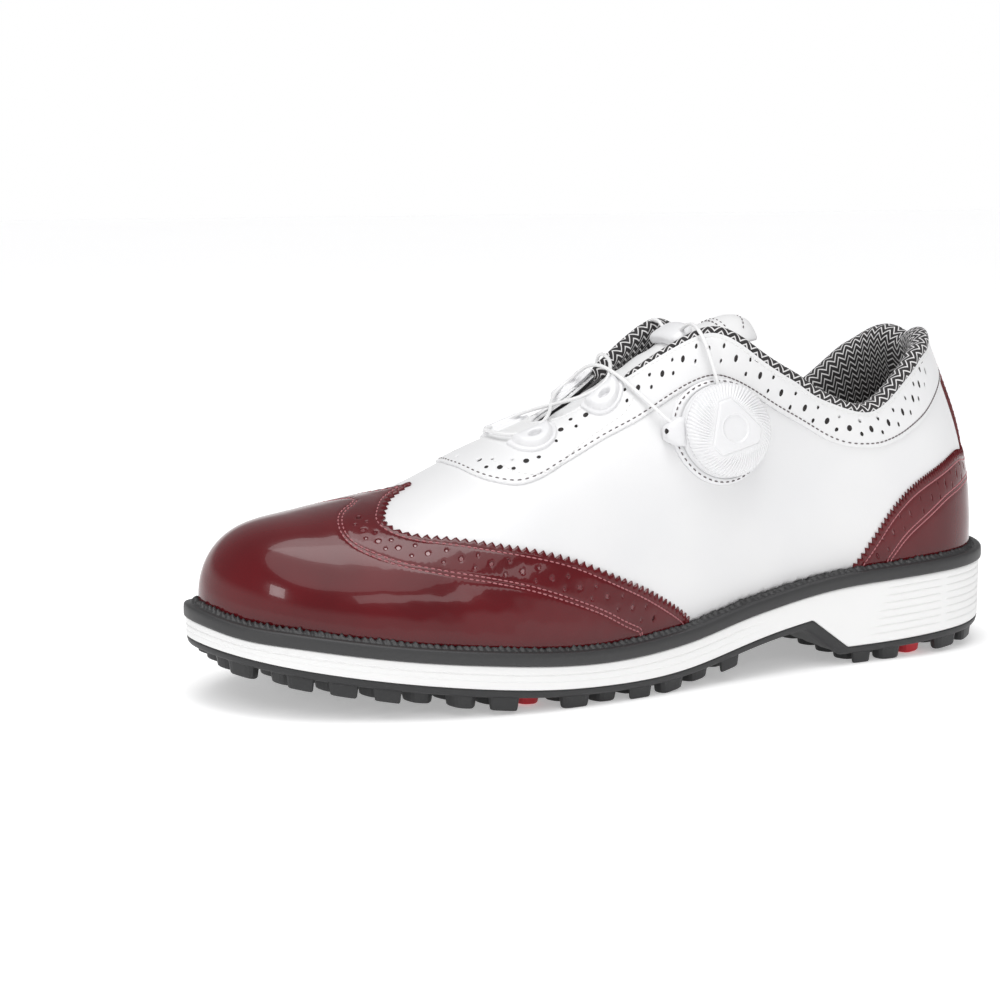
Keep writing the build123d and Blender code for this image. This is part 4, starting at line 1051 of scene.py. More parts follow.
_w = wall(25.0, 85.1, -1)
DIAL_C, DIAL_N = _w[0], _w[1]
DX = np.array([1.0, 0, 0]) - DIAL_N * DIAL_N[0]
DX /= np.linalg.norm(DX)
DY = np.cross(DIAL_N, DX)


def D(x, y, z):
    return DIAL_C + DX * x + DY * y + DIAL_N * z


def P(x, dy, lift):
    return skin(x, dy, lift)[0]


def W(x, z, side, lift):
    return wall(x, z, side, lift)[0]


# ------------------------------------------------------------------ lace
ROUTE = [D(-8.6, -1.0, 2.95), D(-17.5, 1.0, 2.95), W(2.0, 93.4, -1, 4.0), P(-2.5, -9.5, 4.4), P(-3.5, 3.0, 4.6), P(-6.5, 12.0, 3.6), P(-15.5, 10.5, 3.3),
         P(-26.5, -9.5, 3.5), P(-36.5, -12.6, 3.3), P(-42.5, -7.0, 3.3), P(-43.6, 1.0, 3.4), P(-42.0, 9.0, 3.3), P(-36.0, 13.2, 3.3),
         P(-26.0, 10.2, 3.5), P(-15.0, -9.2, 3.4), P(-6.5, -12.2, 3.6), P(-0.6, -4.5, 1.9), P(2.6, 7.5, 2.3), W(4.8, 105.0, 1, 3.7),
         W(7.0, 95.5, 1, 3.3), W(9.2, 88.5, 1, 3.3), W(13.5, 83.6, 1, 3.1), W(20.0, 84.4, 1, 3.1), W(24.2, 91.0, 1, 3.2), W(25.3, 103.0, 1, 3.6),
         W(25.2, 115.0, 1, 5.0), np.array([24.8, 13.4, 121.0]), np.array([23.8, 4.0, 115.9]), np.array([23.4, -5.0, 116.2]), np.array([23.2, -14.2, 121.4]),
         W(23.2, 115.4, -1, 4.8), W(24.0, 106.5, -1, 3.6), D(-0.8, 15.0, 2.95), D(0.3, 8.7, 2.95)]


def nurbs_line(route, res=14):
    cu = bpy.data.curves.new("route", "CURVE")
    cu.dimensions = "3D"
    sp_ = cu.splines.new("NURBS")
    sp_.points.add(len(route) - 1)
    for p, q in zip(sp_.points, route):
        p.co = (*[float(c) * MM for c in q], 1)
    sp_.use_endpoint_u = True
    sp_.order_u = 3
    sp_.resolution_u = res
    ob = bpy.data.objects.new("route", cu)
    bpy.context.scene.collection.objects.link(ob)
    bpy.context.view_layer.update()
    me = bpy.data.meshes.new_from_object(ob)
    pts = np.array([tuple(v.co) for v in me.vertices]) / MM
    bpy.data.objects.remove(ob)
    bpy.data.meshes.remove(me)
    return pts


def tube(name, pts, rad, mat, seg=12, twist=0.0, ridge=0.0):
    pts = np.asarray(pts)
    t = np.gradient(pts, axis=0)
    t /= np.linalg.norm(t, axis=1, keepdims=True)
    a = np.cross(t[0], [0, 0, 1.0])
    a = a / np.linalg.norm(a) if np.linalg.norm(a) > .1 else np.array([1.0, 0, 0])
    G, run = [], 0.0
    for i in range(len(pts)):
        a = a - t[i] * (a @ t[i])
        a /= np.linalg.norm(a)
        b_ = np.cross(t[i], a)
        if i:
            run += np.linalg.norm(pts[i] - pts[i - 1])
        ang = np.linspace(0, 2 * math.pi, seg, endpoint=False)
        r = rad * (1 + ridge * np.cos(3 * ang + run * twist))
        G.append(pts[i] + np.cos(ang)[:, None] * a * r[:, None] + np.sin(ang)[:, None] * b_ * r[:, None])
    return grid_mesh(name, np.array(G), mat, closed_v=True, caps=True)


line = nurbs_line(ROUTE)
line = resample(line, .55)


def nearest(p):
    return int(np.argmin(np.linalg.norm(line - np.asarray(p), axis=1)))


i_a, i_b = nearest(W(25.3, 106.0, 1, 3.8)), nearest((24.3, 9.0, 118.4))
i_c, i_d = nearest((23.3, -9.4, 118.7)), nearest(W(23.6, 111.0, -1, 4.2))
LR = .66
segs = (("lace_main", line[:i_a + 1], "root"), ("lace_tongue", line[i_b:i_c + 1], "tongue"), ("lace_rear", line[i_d:], "root"))
for nm, pts, body in segs:
    o = tube(nm, pts, LR, M_LACE, 12, 2.4, .045)
    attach(o, body)
    if nm == "lace_main":
        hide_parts("lace")
for nm, i0, i1 in (("lace_span_medial", i_a, i_b), ("lace_span_lateral", i_d, i_c)):
    pts = line[min(i0, i1):max(i0, i1) + 1]
    if i0 > i1:
        pts = pts[::-1]
    o = tube(nm, pts, LR, M_LACE, 12, 2.4, .045)
    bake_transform(o)


# ------------------------------------------------------------------ lace guides, moulded to the leather
def d_outline(length, width, n=96):
    """flat D: straight side at +width*.35, round side away from it"""
    a = [(-length / 2, width * .35), (length / 2, width * .35), (length / 2 - .8, -width * .05)]
    arc = []
    # circle through (L/2-.8, -.05w), (0, -.65w), (-L/2+.8, -.05w)
    hx, y0, y1 = length / 2 - .8, -width * .05, -width * .65
    r = (hx * hx + (y1 - y0) ** 2) / (2 * (y0 - y1))
    cy = y1 + r
    a0, a1 = math.atan2(y0 - cy, hx), math.atan2(y0 - cy, -hx)
    if a1 > a0:
        a1 -= 2 * math.pi
    for k in range(1, 24):
        t = a0 + (a1 - a0) * k / 24
        arc.append((r * math.cos(t), cy + r * math.sin(t)))
    pts = np.array(a + arc + [(-hx, y0)])
    q = resample(pts, .25, True)
    for _ in range(26):
        q = q * .5 + (np.roll(q, 1, 0) + np.roll(q, -1, 0)) * .25
    return resample(q, np.linalg.norm(np.diff(np.vstack([q, q[:1]]), axis=0), axis=1).sum() / n, True)[:n]


def guide(name, q0, ang, length, width, top, node, body="root", mirror=1, mapping=at, base=.35):
    out = d_outline(length, width)
    out[:, 1] *= mirror
    cen = np.array([0, -width * .14 * mirror])
    #        scale, height, own centre (recess) or the plate's
    rr = [(0, 1.35), (.10, 1.35), (.17, 1.4), (.20, 1.55), (.225, top - .75), (.245, top - .25), (.275, top - .05), (.33, top + .02), (.45, top - .02),
          (.60, top - .1), (.72, top - .3), (.80, top - .7), (.86, top - 1.25), (.895, 1.55), (.915, 1.25), (.95, 1.2), (1.03, 1.15), (1.08, 1.0),
          (1.11, .7), (1.12, .2), (1.12, base)]
    ca, sa = math.cos(ang), math.sin(ang)
    G = []
    for r, h in rr:
        f = np.clip((r - .2) / .6, 0, 1)
        # the recess is an ellipse; towards the rim the rings turn into the D
        th_ = np.arctan2(out[:, 1] - cen[1], out[:, 0] - cen[0])
        el = np.stack([np.cos(th_) * length * .62, np.sin(th_) * width * .62], -1)
        p = cen + r * (el * (1 - f) + (out - cen) * f)
        hh = np.full(len(p), h, float)
        if .3 < r < .9:                                   # two low ribs where the lace comes out
            hh += .22 * np.exp(-((np.abs(p[:, 0]) - length * .36) / .9) ** 2)
        q = np.stack([p[:, 0] * ca - p[:, 1] * sa, p[:, 0] * sa + p[:, 1] * ca], -1) + q0
        P0, N0 = mapping(q, 0.0)
        G.append(P0 + N0 * (hh + (.95 if mapping is at else 0))[:, None] if r < 1.1 or h > .3 else P0 + N0 * .3)
    G = np.array(G)
    o = grid_mesh(name, G, M_PLASTIC, closed_v=True, caps=True, flip=(mirror > 0))
    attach(o, body)
    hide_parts(node)
    return o


for nm, x, dy in (("guide_lateral_front", -34.5, -13.2), ("guide_medial_front", -34.0, 13.8), ("guide_lateral_rear", -8.5, -13.4), ("guide_medial_rear", -8.5, 13.4)):
    q0 = skin(x, dy)[2]
    qa, qb = skin(x - 4, dy)[2], skin(x + 4, dy)[2]
    ang = math.atan2(*(qb - qa)[::-1])
    guide(nm + "_moulding", q0, ang, 17.0, 10.0, 3.55, nm, mirror=1 if dy < 0 else -1)
q0 = wall(17.0, 85.5, 1)[2]
qa, qb = wall(10, 84.0, 1)[2], wall(24, 87.0, 1)[2]
guide("guide_medial_quarter_moulding", q0, math.atan2(*(qb - qa)[::-1]), 25.0, 16.0, 3.9, "guide_medial_quarter", mirror=-1)
# seams round the guides
seams = []
for sd in (-1, 1):
    pa = sheet_xz([(-50.5, 76.4), (-46.5, 73.6), (-40.5, 72.9), (-33.5, 74.9), (-26.5, 79.0), (-19.0, 83.4), (-11.0, 88.0), (-4.5, 92.4), (-1.2, 96.4)], sd)
    seams.append(smooth_curve(pa, .6))
o = stitch_mesh("guide_seams", seams, .95, M_STITCHW, pitch=2.3, length=1.6, rad=.24)
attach(o, "root")
# ring of stitches round the medial quarter guide
out = d_outline(27.6, 18.8) * np.array([1, -1.0])
ang = math.atan2(*(qb - qa)[::-1])
rq = np.stack([out[:, 0] * math.cos(ang) - out[:, 1] * math.sin(ang), out[:, 0] * math.sin(ang) + out[:, 1] * math.cos(ang)], -1) * 1.06 + q0
o = stitch_mesh("quarter_guide_seam", [np.vstack([rq, rq[:1]])], .12, M_STITCHG, pitch=2.4, length=1.6, rad=.24)
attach(o, "root")

# tongue guide: low saddle with capped ends, the lace running through it
G = []
ya = np.linspace(-10.2, 10.2, 44)
for y in ya:
    e = min(1, math.sqrt(max(.04, 1 - (abs(y) / 10.4) ** 6)))
    dz = -1.45 * (y / 9.5) ** 2
    c0 = np.array([23.6, y, 116.2 + dz])
    ax, az = np.array([.88, 0, .47]), np.array([-.42, 0, .9])
    t = np.linspace(0, 2 * math.pi, 40, endpoint=False)
    G.append(c0 + (np.sign(np.cos(t)) * np.abs(np.cos(t)) ** .62 * 5.1 * e)[:, None] * ax + (np.sign(np.sin(t)) * np.abs(np.sin(t)) ** .72 * 2.45 * e)[:, None] * az)
o = grid_mesh("tongue_guide_moulding", np.array(G), M_PLASTIC, closed_v=True, caps=True)
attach(o, "tongue")
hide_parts("tongue_guide")


# ------------------------------------------------------------------ dial
def surf_drop(lx, ly):
    """local height of the leather below a point of the dial's plane"""
    p = DIAL_C + DX * lx + DY * ly
    w = wall(p[0], p[2], -1)[0]
    return float((w[1] - p[1]) / DIAL_N[1])


NA = 240
ta = np.linspace(0, 2 * math.pi, NA, endpoint=False)
drop = np.array([surf_drop(17.9 * math.cos(a), 17.9 * math.sin(a)) for a in ta])
for _ in range(4):
    drop = drop * .5 + (np.roll(drop, 1) + np.roll(drop, -1)) * .25
prof = [(6.0, 'z', 4.85), (10, 'z', 4.85), (15.2, 'z', 4.8), (15.75, 'z', 4.55), (15.9, 'z', 4.0), (15.95, 'z', 3.1), (16.1, 'm', .62), (16.3, 'm', .35), (16.75, 's', 1.15), (17.5, 's', 1.0), (17.95, 's', .75),
        (18.15, 's', .3), (18.15, 's', -.3), (12, 's', -.4), (6.0, 's', -.4)]
G = []
for r, kind, h in prof:
    if kind == "z":
        z = np.full(NA, h)
    elif kind == "s":
        z = drop * (r / 17.9) ** 2 + h + .25
    else:
        z = (drop * (r / 17.9) ** 2 + 1.3) * h + 3.1 * (1 - h)
    G.append([D(r * math.cos(a), r * math.sin(a), zz_) for a, zz_ in zip(ta, z)])
o = grid_mesh("dial_base", np.array(G), M_PLASTIC, closed_u=True, closed_v=True, flip=True)
me = o.data
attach(o, "root")
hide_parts("dial_housing")


def dial_map(q, lift):
    q = np.asarray(q)
    z = np.array([surf_drop(a, b_) for a, b_ in q]) + lift
    P0 = np.array([D(a, b_, c) for (a, b_), c in zip(q, z)])
    return P0, np.tile(DIAL_N, (len(q), 1))


ringq = np.stack([17.25 * np.cos(ta), 17.25 * np.sin(ta)], -1)
o = stitch_mesh("dial_seam", [np.vstack([ringq, ringq[:1]])], 1.28, M_STITCHG, pitch=2.3, length=1.6, rad=.24, mapping=dial_map)
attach(o, "root")

# nose where the lace comes out towards the toe
G = []
for k, (xx, hw, z0, z1) in enumerate([(-14.5, 5.2, .8, 4.6), (-17.0, 4.9, .6, 4.6), (-19.0, 4.0, .4, 4.4), (-20.6, 3.0, .2, 4.0), (-21.5, 2.2, .1, 3.5), (-21.9, 1.4, .4, 3.1)]):
    t = np.linspace(0, 2 * math.pi, 36, endpoint=False)
    zc, hz = (z0 + z1) / 2 - (1.0 if k < 5 else .2), (z1 - z0) / 2 + (1.0 if k < 5 else .2)
    G.append([D(xx, .6 + hw * np.sign(math.cos(a)) * abs(math.cos(a)) ** .55, zc + hz * np.sign(math.sin(a)) * abs(math.sin(a)) ** .55) for a in t])
o = grid_mesh("dial_nose", np.array(G), M_PLASTIC, closed_v=True, caps=True)
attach(o, "root")
# dark plug on the nose's end: painted shade standing in for the open lace port
G = []
for xx, r in ((-19.6, .85), (-20.4, .9), (-21.2, .95), (-21.96, .95), (-22.04, .8)):
    t = np.linspace(0, 2 * math.pi, 24, endpoint=False)
    G.append([D(xx, 1.0 + r * math.cos(a), 2.6 + r * math.sin(a)) for a in t])
o = grid_mesh("dial_nose_mouth_painted_shade", np.array(G), M_PERF_AND_PORT_SHADE, closed_v=True, caps=True)
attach(o, "root")

# knob: fanned ribs, raised three-sided plateau with a plain round dimple
NT, kp = 864, cub([0, 4.0, 8.0, 11.6, 14.6, 15.8, 16.35], [10.9, 10.88, 10.75, 10.0, 8.5, 7.4, 6.4])
radii = np.concatenate([np.linspace(.01, 4.0, 8), np.linspace(4.25, 5.9, 12), np.linspace(6.1, 11.6, 40), np.linspace(11.8, 15.8, 22), [16.05, 16.22, 16.34]])
tk = np.linspace(0, 2 * math.pi, NT, endpoint=False)
side_a = [math.radians(a) for a in (165, 45, -75)]
corner_a = [math.radians(a) for a in (105, -15, -135)]
den = np.max([np.cos(tk - a) for a in side_a], axis=0)
r_p = 7.1 / np.maximum(den, .1)
den2 = np.max([np.cos(tk - a) for a in corner_a], axis=0)
r_c = 10.1 / np.maximum(den2, .1)
r_p = np.minimum(r_p, r_c)
for _ in range(60):
    r_p = r_p * .5 + (np.roll(r_p, 1) + np.roll(r_p, -1)) * .25
G = []
for r in radii:
    z = np.full(NT, float(kp(r)))
    z -= .55 * np.clip((6.5 - r) / 6.5, 0, 1) ** 1                                # the plateau is flat, a little hollow
    stp = 1 / (1 + np.exp(-(r_p - r) / .12))
    z += .42 * stp - .42
    z -= .20 * np.exp(-((r - r_p - .35) / .25) ** 2)                              # fine groove round the plateau
    dm = 1 / (1 + np.exp(-(4.75 - r) / .09))
    z -= .38 * dm
    z += .16 * np.exp(-((r - 5.15) / .3) ** 2)
    if r < 4.7:
        z += .42 * (1 - (r / 4.7) ** 2)
    amp = .30 * np.clip((r - r_p - .7) / 2.6, 0, 1) * np.clip((16.6 - r) / .5, .35, 1)
    ph_ = tk * 72 + 10.5 * np.log(max(r, 1) / 16.4) * 3.2
    z += amp * (np.abs(np.sin(ph_ / 2)) * 2 - 1.3) * .8
    G.append(np.array([D(.97 * r * math.cos(a), .97 * r * math.sin(a), zz_) for a, zz_ in zip(tk, z)]))
for r, h in ((16.4, 6.0), (16.4, 5.6), (16.15, 5.2), (15.8, 5.02), (12, 5.0), (6, 5.0)):
    wv = .12 * np.sin(tk * 72) if h > 5.3 else 0 * tk
    G.append(np.array([D(.97 * (r + w_) * math.cos(a), .97 * (r + w_) * math.sin(a), h) for a, w_ in zip(tk, wv)]))
o = grid_mesh("dial_knob_moulding", np.array(G), M_PLASTIC, closed_v=True, caps=True, flip=True)
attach(o, "dial_knob")
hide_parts("dial_knob")

# ------------------------------------------------------------------ sole
OUT = smooth_curve(OUTLINE, .25, True)
if (np.roll(OUT[:, 0], -1) * OUT[:, 1] - OUT[:, 0] * np.roll(OUT[:, 1], -1)).sum() > 0:
    OUT = OUT[::-1]
OUT = resample(OUT, .9, True)
extra_c = []
nO = normals2(OUT, True)
tst = OUT + nO
INW = nO if np.abs(tst[:, 1]).sum() < np.abs(OUT[:, 1]).sum() else -nO


def inset(d):
    p = OUT + INW * d
    if d > 5:
        for _ in range(int(d)):
            p = p * .5 + (np.roll(p, 1, 0) + np.roll(p, -1, 0)) * .25
    return p


def zb(x):
    x = np.asarray(x, float)
    return np.where(x < 60, f_wb1(np.minimum(x, 60)), np.where(x < 75.5, 17.8 + (np.clip(x, 60, 75.5) - 60) * (6.6 - 17.8) / 15.5, f_wb2(np.maximum(x, 75.5))))


def zo(x):
    x = np.asarray(x, float)
    return np.where(x < 58, f_ob1(np.minimum(x, 58)), np.where(x < 72.5, 14.6 + (np.clip(x, 58, 72.5) - 58) * (3.9 - 14.6) / 14.5, f_ob2(np.maximum(x, 72.5))))


def loop_wall(name, rows, mat, flip=False, cap_top=True, cap_bot=True):
    """rows: list of (xy loop, z array) from the bottom to the top of the wall; only the wall is built, without caps"""
    G = np.array([np.hstack([xy, z[:, None]]) for xy, z in rows])
    nr, nc = G.shape[:2]
    V = G.reshape(-1, 3).tolist()
    F = []
    for i in range(nr - 1):
        for j in range(nc):
            a, b_ = i * nc + j, i * nc + (j + 1) % nc
            F.append((a, b_, b_ + nc, a + nc) if not flip else (a + nc, b_ + nc, b_, a))
    return V, F, nc, nr


def cap_tris(xy, step):
    """triangles over a closed loop, with inner points"""
    lo_, hi_ = xy.min(0), xy.max(0)
    gx, gy = np.meshgrid(np.arange(lo_[0], hi_[0], step), np.arange(lo_[1], hi_[1], step * .87))
    gx = gx + (np.arange(gx.shape[0]) % 2)[:, None] * step / 2
    g = np.stack([gx.ravel(), gy.ravel()], -1)
    g = g[inside_even(g, [xy])]
    t = cloud_tree(resample(xy, 1.0, True))
    g = g[dist_to(g, t) > step * .6]
    pts = np.vstack([xy, g])
    n = len(xy)
    vo, _, fo, _, _, _ = delaunay_2d_cdt([Vector(p) for p in pts], [(i, (i + 1) % n) for i in range(n)], [], 1, 1e-6)
    return np.array([(v.x, v.y) for v in vo]), [list(f) for f in fo], n


def closed_sole(name, rows, mat, ztop, zbot, step=5.0):
    V, F, nc, nr = loop_wall(name, rows, mat)
    for which, (xy, z), fz_ in (("b", rows[0], zbot), ("t", rows[-1], ztop)):
        v2, tris, n = cap_tris(xy, step)
        base = len(V)
        ring0 = 0 if which == "b" else (nr - 1) * nc
        for k in range(n, len(v2)):
            V.append([v2[k, 0], v2[k, 1], float(fz_(v2[k, 0]))])
        for f in tris:
            ids = [ring0 + k if k < n else base + k - n for k in f]
            a = v2[f[1]] - v2[f[0]]
            b_ = v2[f[2]] - v2[f[0]]
            ccw = a[0] * b_[1] - a[1] * b_[0] > 0
            if (which == "t") != ccw:
                ids = ids[::-1]
            F.append(ids)
    return new_obj(name, V, F, mat)


ox, oy = OUT[:, 0], OUT[:, 1]
arc_o = np.concatenate([[0], np.cumsum(np.linalg.norm(np.diff(np.vstack([OUT, OUT[:1]]), axis=0), axis=1))])[:-1]
rows = []
fs = [0, .012, .04] + list(np.linspace(.06, .94, 74)) + [.96, .985, 1.0]
for f in fs:
    bot, top_ = zb(ox), f_wt(ox)
    z = bot + (top_ - bot) * f
    d = np.zeros(len(ox))
    d += .45 * max(0, 1 - f / .04) ** 2 + .35 * max(0, 1 - (1 - f) / .05) ** 2
    # two grooves round the forefoot wall
    fore = 1 / (1 + np.exp((ox - 34) / 2.5))
    for g in (.36, .64):
        hgt_ = (top_ - bot)
        d += fore * (.30 if g > .5 else .16) * np.exp(-(((f - g) * hgt_) / .26) ** 2)
    # engraved lines round the heel, broken near the middle
    heel = 1 / (1 + np.exp(-(ox - 84 - 10 * f) / 1.2))
    gap = 1 - np.exp(-((ox - 117) / 1.7) ** 4)
    for g in (.16, .28, .40, .52, .64, .76, .88):
        hgt_ = (top_ - bot)
        d += heel * gap * .40 * np.exp(-(((f - g) * hgt_) / .26) ** 2)
    rows.append((OUT + INW * d[:, None], z))
mids = closed_sole("midsole_wall", rows, M_FOAM, f_wt, zb)
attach(mids, "root")
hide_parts("midsole")

# outsole web
rows = []
for f, d0 in ((0, 1.6), (.12, .95), (.35, .5), (.7, .25), (.93, .12), (1.0, .3)):
    bot, top_ = zo(ox), zb(ox) - .05
    rows.append((OUT + INW * d0, bot + (top_ - bot) * f))
web = closed_sole("outsole_web", rows, M_BLACK, lambda x: zb(x) - .05, zo)
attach(web, "root")
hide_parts("outsole")

# lugs
f_lb = lambda x: np.interp(x, *zip(*LB)) if x < 60 else np.interp(x, *zip(*LB2))
LUG_X, LUG_Y = 12.6, 12.0


def lug_centres(x0, x1):
    out, i, x = [], 0, x0
    while x <= x1:
        for j in range(-4, 5):
            out.append((x, j * LUG_Y + (LUG_Y / 2 if i % 2 else 0) - 1.5))
        x += LUG_X
        i += 1
    return out


RED = [(-50.0, -37.5), (-50.0, 34.5), (-37.4, -1.5), (107.8, -25.5), (107.8, 22.5)]
IN2 = inset(1.9)
tree_in = cloud_tree(IN2)


def clip_poly(poly, c, nrm):
    out = []
    for i in range(len(poly)):
        a, b_ = poly[i], poly[(i + 1) % len(poly)]
        da, db = (a - c) @ nrm, (b_ - c) @ nrm
        if da >= 0:
            out.append(a)
        if (da >= 0) != (db >= 0):
            out.append(a + (b_ - a) * da / (da - db))
    return out


def lug(V, F, c, rot=0.0, rad=5.5):
    poly = [np.array([c[0] + rad * math.cos(rot + math.pi / 3 * k), c[1] + rad * math.sin(rot + math.pi / 3 * k)]) for k in range(6)]
    for p in list(poly) + [np.array(c)]:
        _, i, _ = tree_in.find((p[0], p[1], 0))
        poly = clip_poly(poly, IN2[i], INW[i])
        if len(poly) < 3:
            return
    poly = np.array(poly)
    x_, y_ = poly[:, 0], poly[:, 1]
    ar = .5 * abs((x_ * np.roll(y_, -1) - np.roll(x_, -1) * y_).sum())
    if ar < 14 or not (poly[:, 0].max() < 52 or poly[:, 0].min() > 76):
        return
    if (x_ * np.roll(y_, -1) - np.roll(x_, -1) * y_).sum() < 0:
        poly = poly[::-1]
    poly = resample(poly, 1.6, True)
    for _ in range(1):
        poly = poly * .5 + (np.roll(poly, 1, 0) + np.roll(poly, -1, 0)) * .25
    m = poly.mean(0)
    base = len(V)
    n = len(poly)
    zg = np.array([f_lb(p[0]) for p in poly])
    zw = zo(poly[:, 0]) + .8
    for sc, f in ((1.10, 1.0), (1.03, .62), (.97, .22), (.94, .07), (.86, 0.0), (.5, .0)):
        q = m + (poly - m) * sc
        z = zg + (zw - zg) * f
        if sc == .5:
            z = zg + .35                                       # shallow cup in the tread face
        if sc == .86:
            z = zg
        for (a, b_), c_ in zip(q, z):
            V.append((a, b_, max(c_, 0.0)))
    for r in range(5):
        for k in range(n):
            a, b_ = base + r * n + k, base + r * n + (k + 1) % n
            F.append((a, a + n, b_ + n, b_))
    F.append([base + 5 * n + k for k in range(n)][::-1])
    F.append([base + k for k in range(n)])


V, F = [], []
for k, c in enumerate(lug_centres(-138.2, 26) + lug_centres(82.6, 146)):
    if any(abs(c[0] - r[0]) < 7 and abs(c[1] - r[1]) < 7 for r in RED):
        continue
    lug(V, F, c, rot=0.0)
o = new_obj("lugs", V, F, M_BLACK, smooth=False)
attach(o, "root")
V, F = [], []
for c in RED:
    lug(V, F, c, rot=0.0)
o = new_obj("red_lugs", V, F, M_RED, smooth=False)
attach(o, "root")
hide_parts("lug_inserts")

# welt: smooth side face, raised rough rope stitch on top
rows = []
OUTW = resample(smooth_curve(OUTLINE, .25, True), .42, True)
nW = normals2(OUTW, True)
nW = nW if np.abs((OUTW + nW)[:, 1]).sum() < np.abs(OUTW[:, 1]).sum() else -nW
arc_w = np.concatenate([[0], np.cumsum(np.linalg.norm(np.diff(OUTW, axis=0), axis=1))])
ropes = arc_w * 2 * math.pi / 2.35


def insetw(d):
    q = OUTW + nW * d
    if d > 5:
        for _ in range(int(d * 3)):
            q = q * .5 + (np.roll(q, 1, 0) + np.roll(q, -1, 0)) * .25
    return q


rg = np.random.default_rng(3)
jit = rg.normal(0, 1, len(OUTW))
for _ in range(2):
    jit = jit * .5 + (np.roll(jit, 1) + np.roll(jit, -1)) * .25
for d0, h, kind in ((12.0, .1, 0), (-.25, .1, 0), (-.62, .35, 0), (-.72, 1.0, 0), (-.7, 2.6, 0), (-.62, 3.9, 0), (-.3, 4.35, 0), (.2, 4.55, 0), (1.1, 4.62, 0), (1.8, 4.5, 0),
                    (2.1, 4.7, 1), (2.5, 5.15, 2), (3.0, 5.45, 3), (3.6, 5.5, 4), (4.2, 5.35, 5), (4.7, 5.0, 6), (5.1, 4.6, 1), (5.6, 4.7, 0), (6.6, 5.0, 0), (8.5, 5.0, 0), (12.0, 5.0, 0)):
    z = f_wt(OUTW[:, 0]) + h
    if kind:
        w_ = math.sin(math.pi * min(kind, 7 - kind) / 7 + .2)
        z = z + w_ * (.42 * np.sin(ropes + kind * 1.1) + .2 * np.sin(ropes * 2.3 + kind * 2.1 + jit * 3) + .34 * jit)
    rows.append((insetw(d0), z))
G = np.array([np.hstack([xy, z[:, None]]) for xy, z in rows])
welt = grid_mesh("welt_rope", np.vstack([G, G[:1]]), M_WELT, closed_v=True)
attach(welt, "root")
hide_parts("welt")

# sock
sk = inset(10.6)
sk = resample(sk, 2.0, True)
v2, tris, n = cap_tris(sk, 4.0)
tsk = cloud_tree(resample(sk, .8, True))
dsk = dist_to(v2, tsk)
ztop = f_wt(v2[:, 0]) + 9.4 + 1.7 * np.clip(1 - dsk / 9, 0, 1) ** 2 * (v2[:, 0] > 0) + .9 * np.sqrt(np.clip(dsk / 2.0, 0, 1))
V = np.vstack([np.hstack([v2, ztop[:, None]]), np.hstack([v2, (f_wt(v2[:, 0]) + 7.35)[:, None]])])
m = len(v2)
F = []
for f in tris:
    a, b_ = v2[f[1]] - v2[f[0]], v2[f[2]] - v2[f[0]]
    f = f if a[0] * b_[1] - a[1] * b_[0] > 0 else f[::-1]
    F.append(f)
    F.append([k + m for k in f[::-1]])
ccw = (sk[:, 0] * np.roll(sk[:, 1], -1) - np.roll(sk[:, 0], -1) * sk[:, 1]).sum() > 0
for k in range(n):
    a, b_ = k, (k + 1) % n
    F.append((a, a + m, b_ + m, b_) if ccw else (b_, b_ + m, a + m, a))
o = new_obj("sock_pad", V, F, M_SOCK)
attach(o, "root")
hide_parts("sockliner")

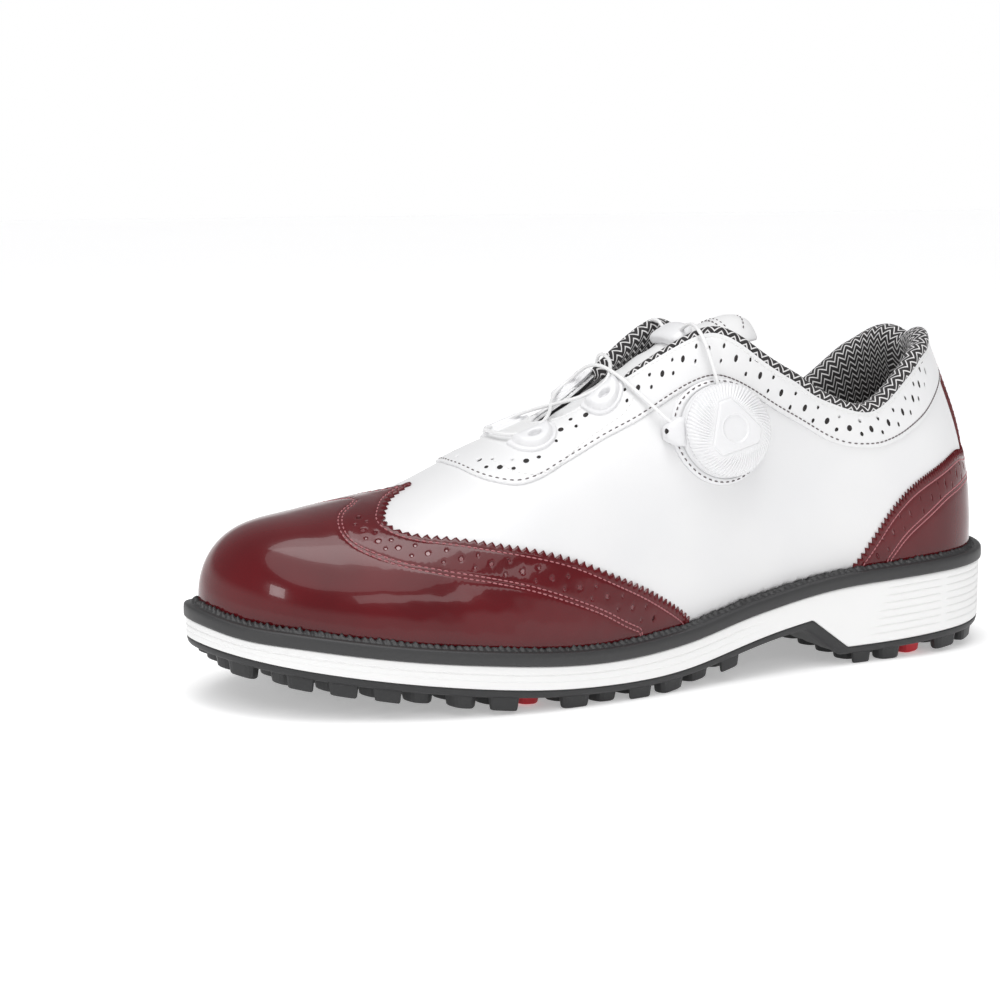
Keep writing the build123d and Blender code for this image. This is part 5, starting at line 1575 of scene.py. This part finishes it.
# ------------------------------------------------------------------ floor, light
def stage_floor():
    me = bpy.data.meshes.new("floor")
    me.from_pydata([(-6, -6, -.0002), (6, -6, -.0002), (6, 6, -.0002), (-6, 6, -.0002)], [], [(0, 1, 2, 3)])
    o = bpy.data.objects.new("floor", me)
    bpy.context.scene.collection.objects.link(o)
    m, nt, b = material("floor_pale", (.92, .92, .92), .8)
    v = tex(nt, "ShaderNodeTexNoise", 3.0)
    nt.links.new(ramp(nt, v.outputs[0], [(.3, (.895, .895, .895)), (.7, (.905, .905, .905))]), b.inputs["Base Color"])
    b.inputs["Specular IOR Level"].default_value = .1
    b.inputs["Emission Color"].default_value = (1, 1, 1, 1)
    b.inputs["Emission Strength"].default_value = .36
    me.materials.append(m)
    return o


stage_floor()


def area(name, loc, target, size, size_y, power, color=(1, 1, 1)):
    l = bpy.data.lights.new(name, "AREA")
    l.shape = "RECTANGLE"
    l.size, l.size_y, l.energy, l.color = size, size_y, power, color
    o = bpy.data.objects.new(name, l)
    bpy.context.scene.collection.objects.link(o)
    d = Vector(target) - Vector(loc)
    o.location = loc
    o.rotation_euler = d.to_track_quat("-Z", "Y").to_euler()
    return o


area("top_box", (-.15, -.05, 1.25), (-.03, 0, .05), 1.0, .55, 5.0)
area("front_window", (-1.15, -.50, .50), (-.11, 0, .06), .26, .26, 1.5)
area("side_box", (-.10, -1.5, .95), (-.03, 0, .07), 1.3, .26, 2.6, (1, .975, .975))
sun = bpy.data.lights.new("soft_sun", "SUN")
sun.energy, sun.angle = 1.15, math.radians(60)
so = bpy.data.objects.new("soft_sun", sun)
bpy.context.scene.collection.objects.link(so)
so.rotation_euler = (math.radians(18), math.radians(-14), 0)
world = bpy.data.worlds.new("studio")
bpy.context.scene.world = world
world.use_nodes = True
wn = world.node_tree
bg = wn.nodes["Background"]
tc = wn.nodes.new("ShaderNodeTexCoord")
sx = wn.nodes.new("ShaderNodeSeparateXYZ")
wn.links.new(tc.outputs["Generated"], sx.inputs[0])
cr = wn.nodes.new("ShaderNodeValToRGB")
cr.color_ramp.elements[0].position, cr.color_ramp.elements[0].color = .14, (1.0, 1.0, 1.0, 1)
cr.color_ramp.elements[1].position, cr.color_ramp.elements[1].color = .26, (.34, .34, .345, 1)
wn.links.new(sx.outputs[2], cr.inputs["Fac"])
wn.links.new(cr.outputs["Color"], bg.inputs["Color"])
bg.inputs["Strength"].default_value = 1.0
bpy.context.scene.view_settings.view_transform = "Standard"
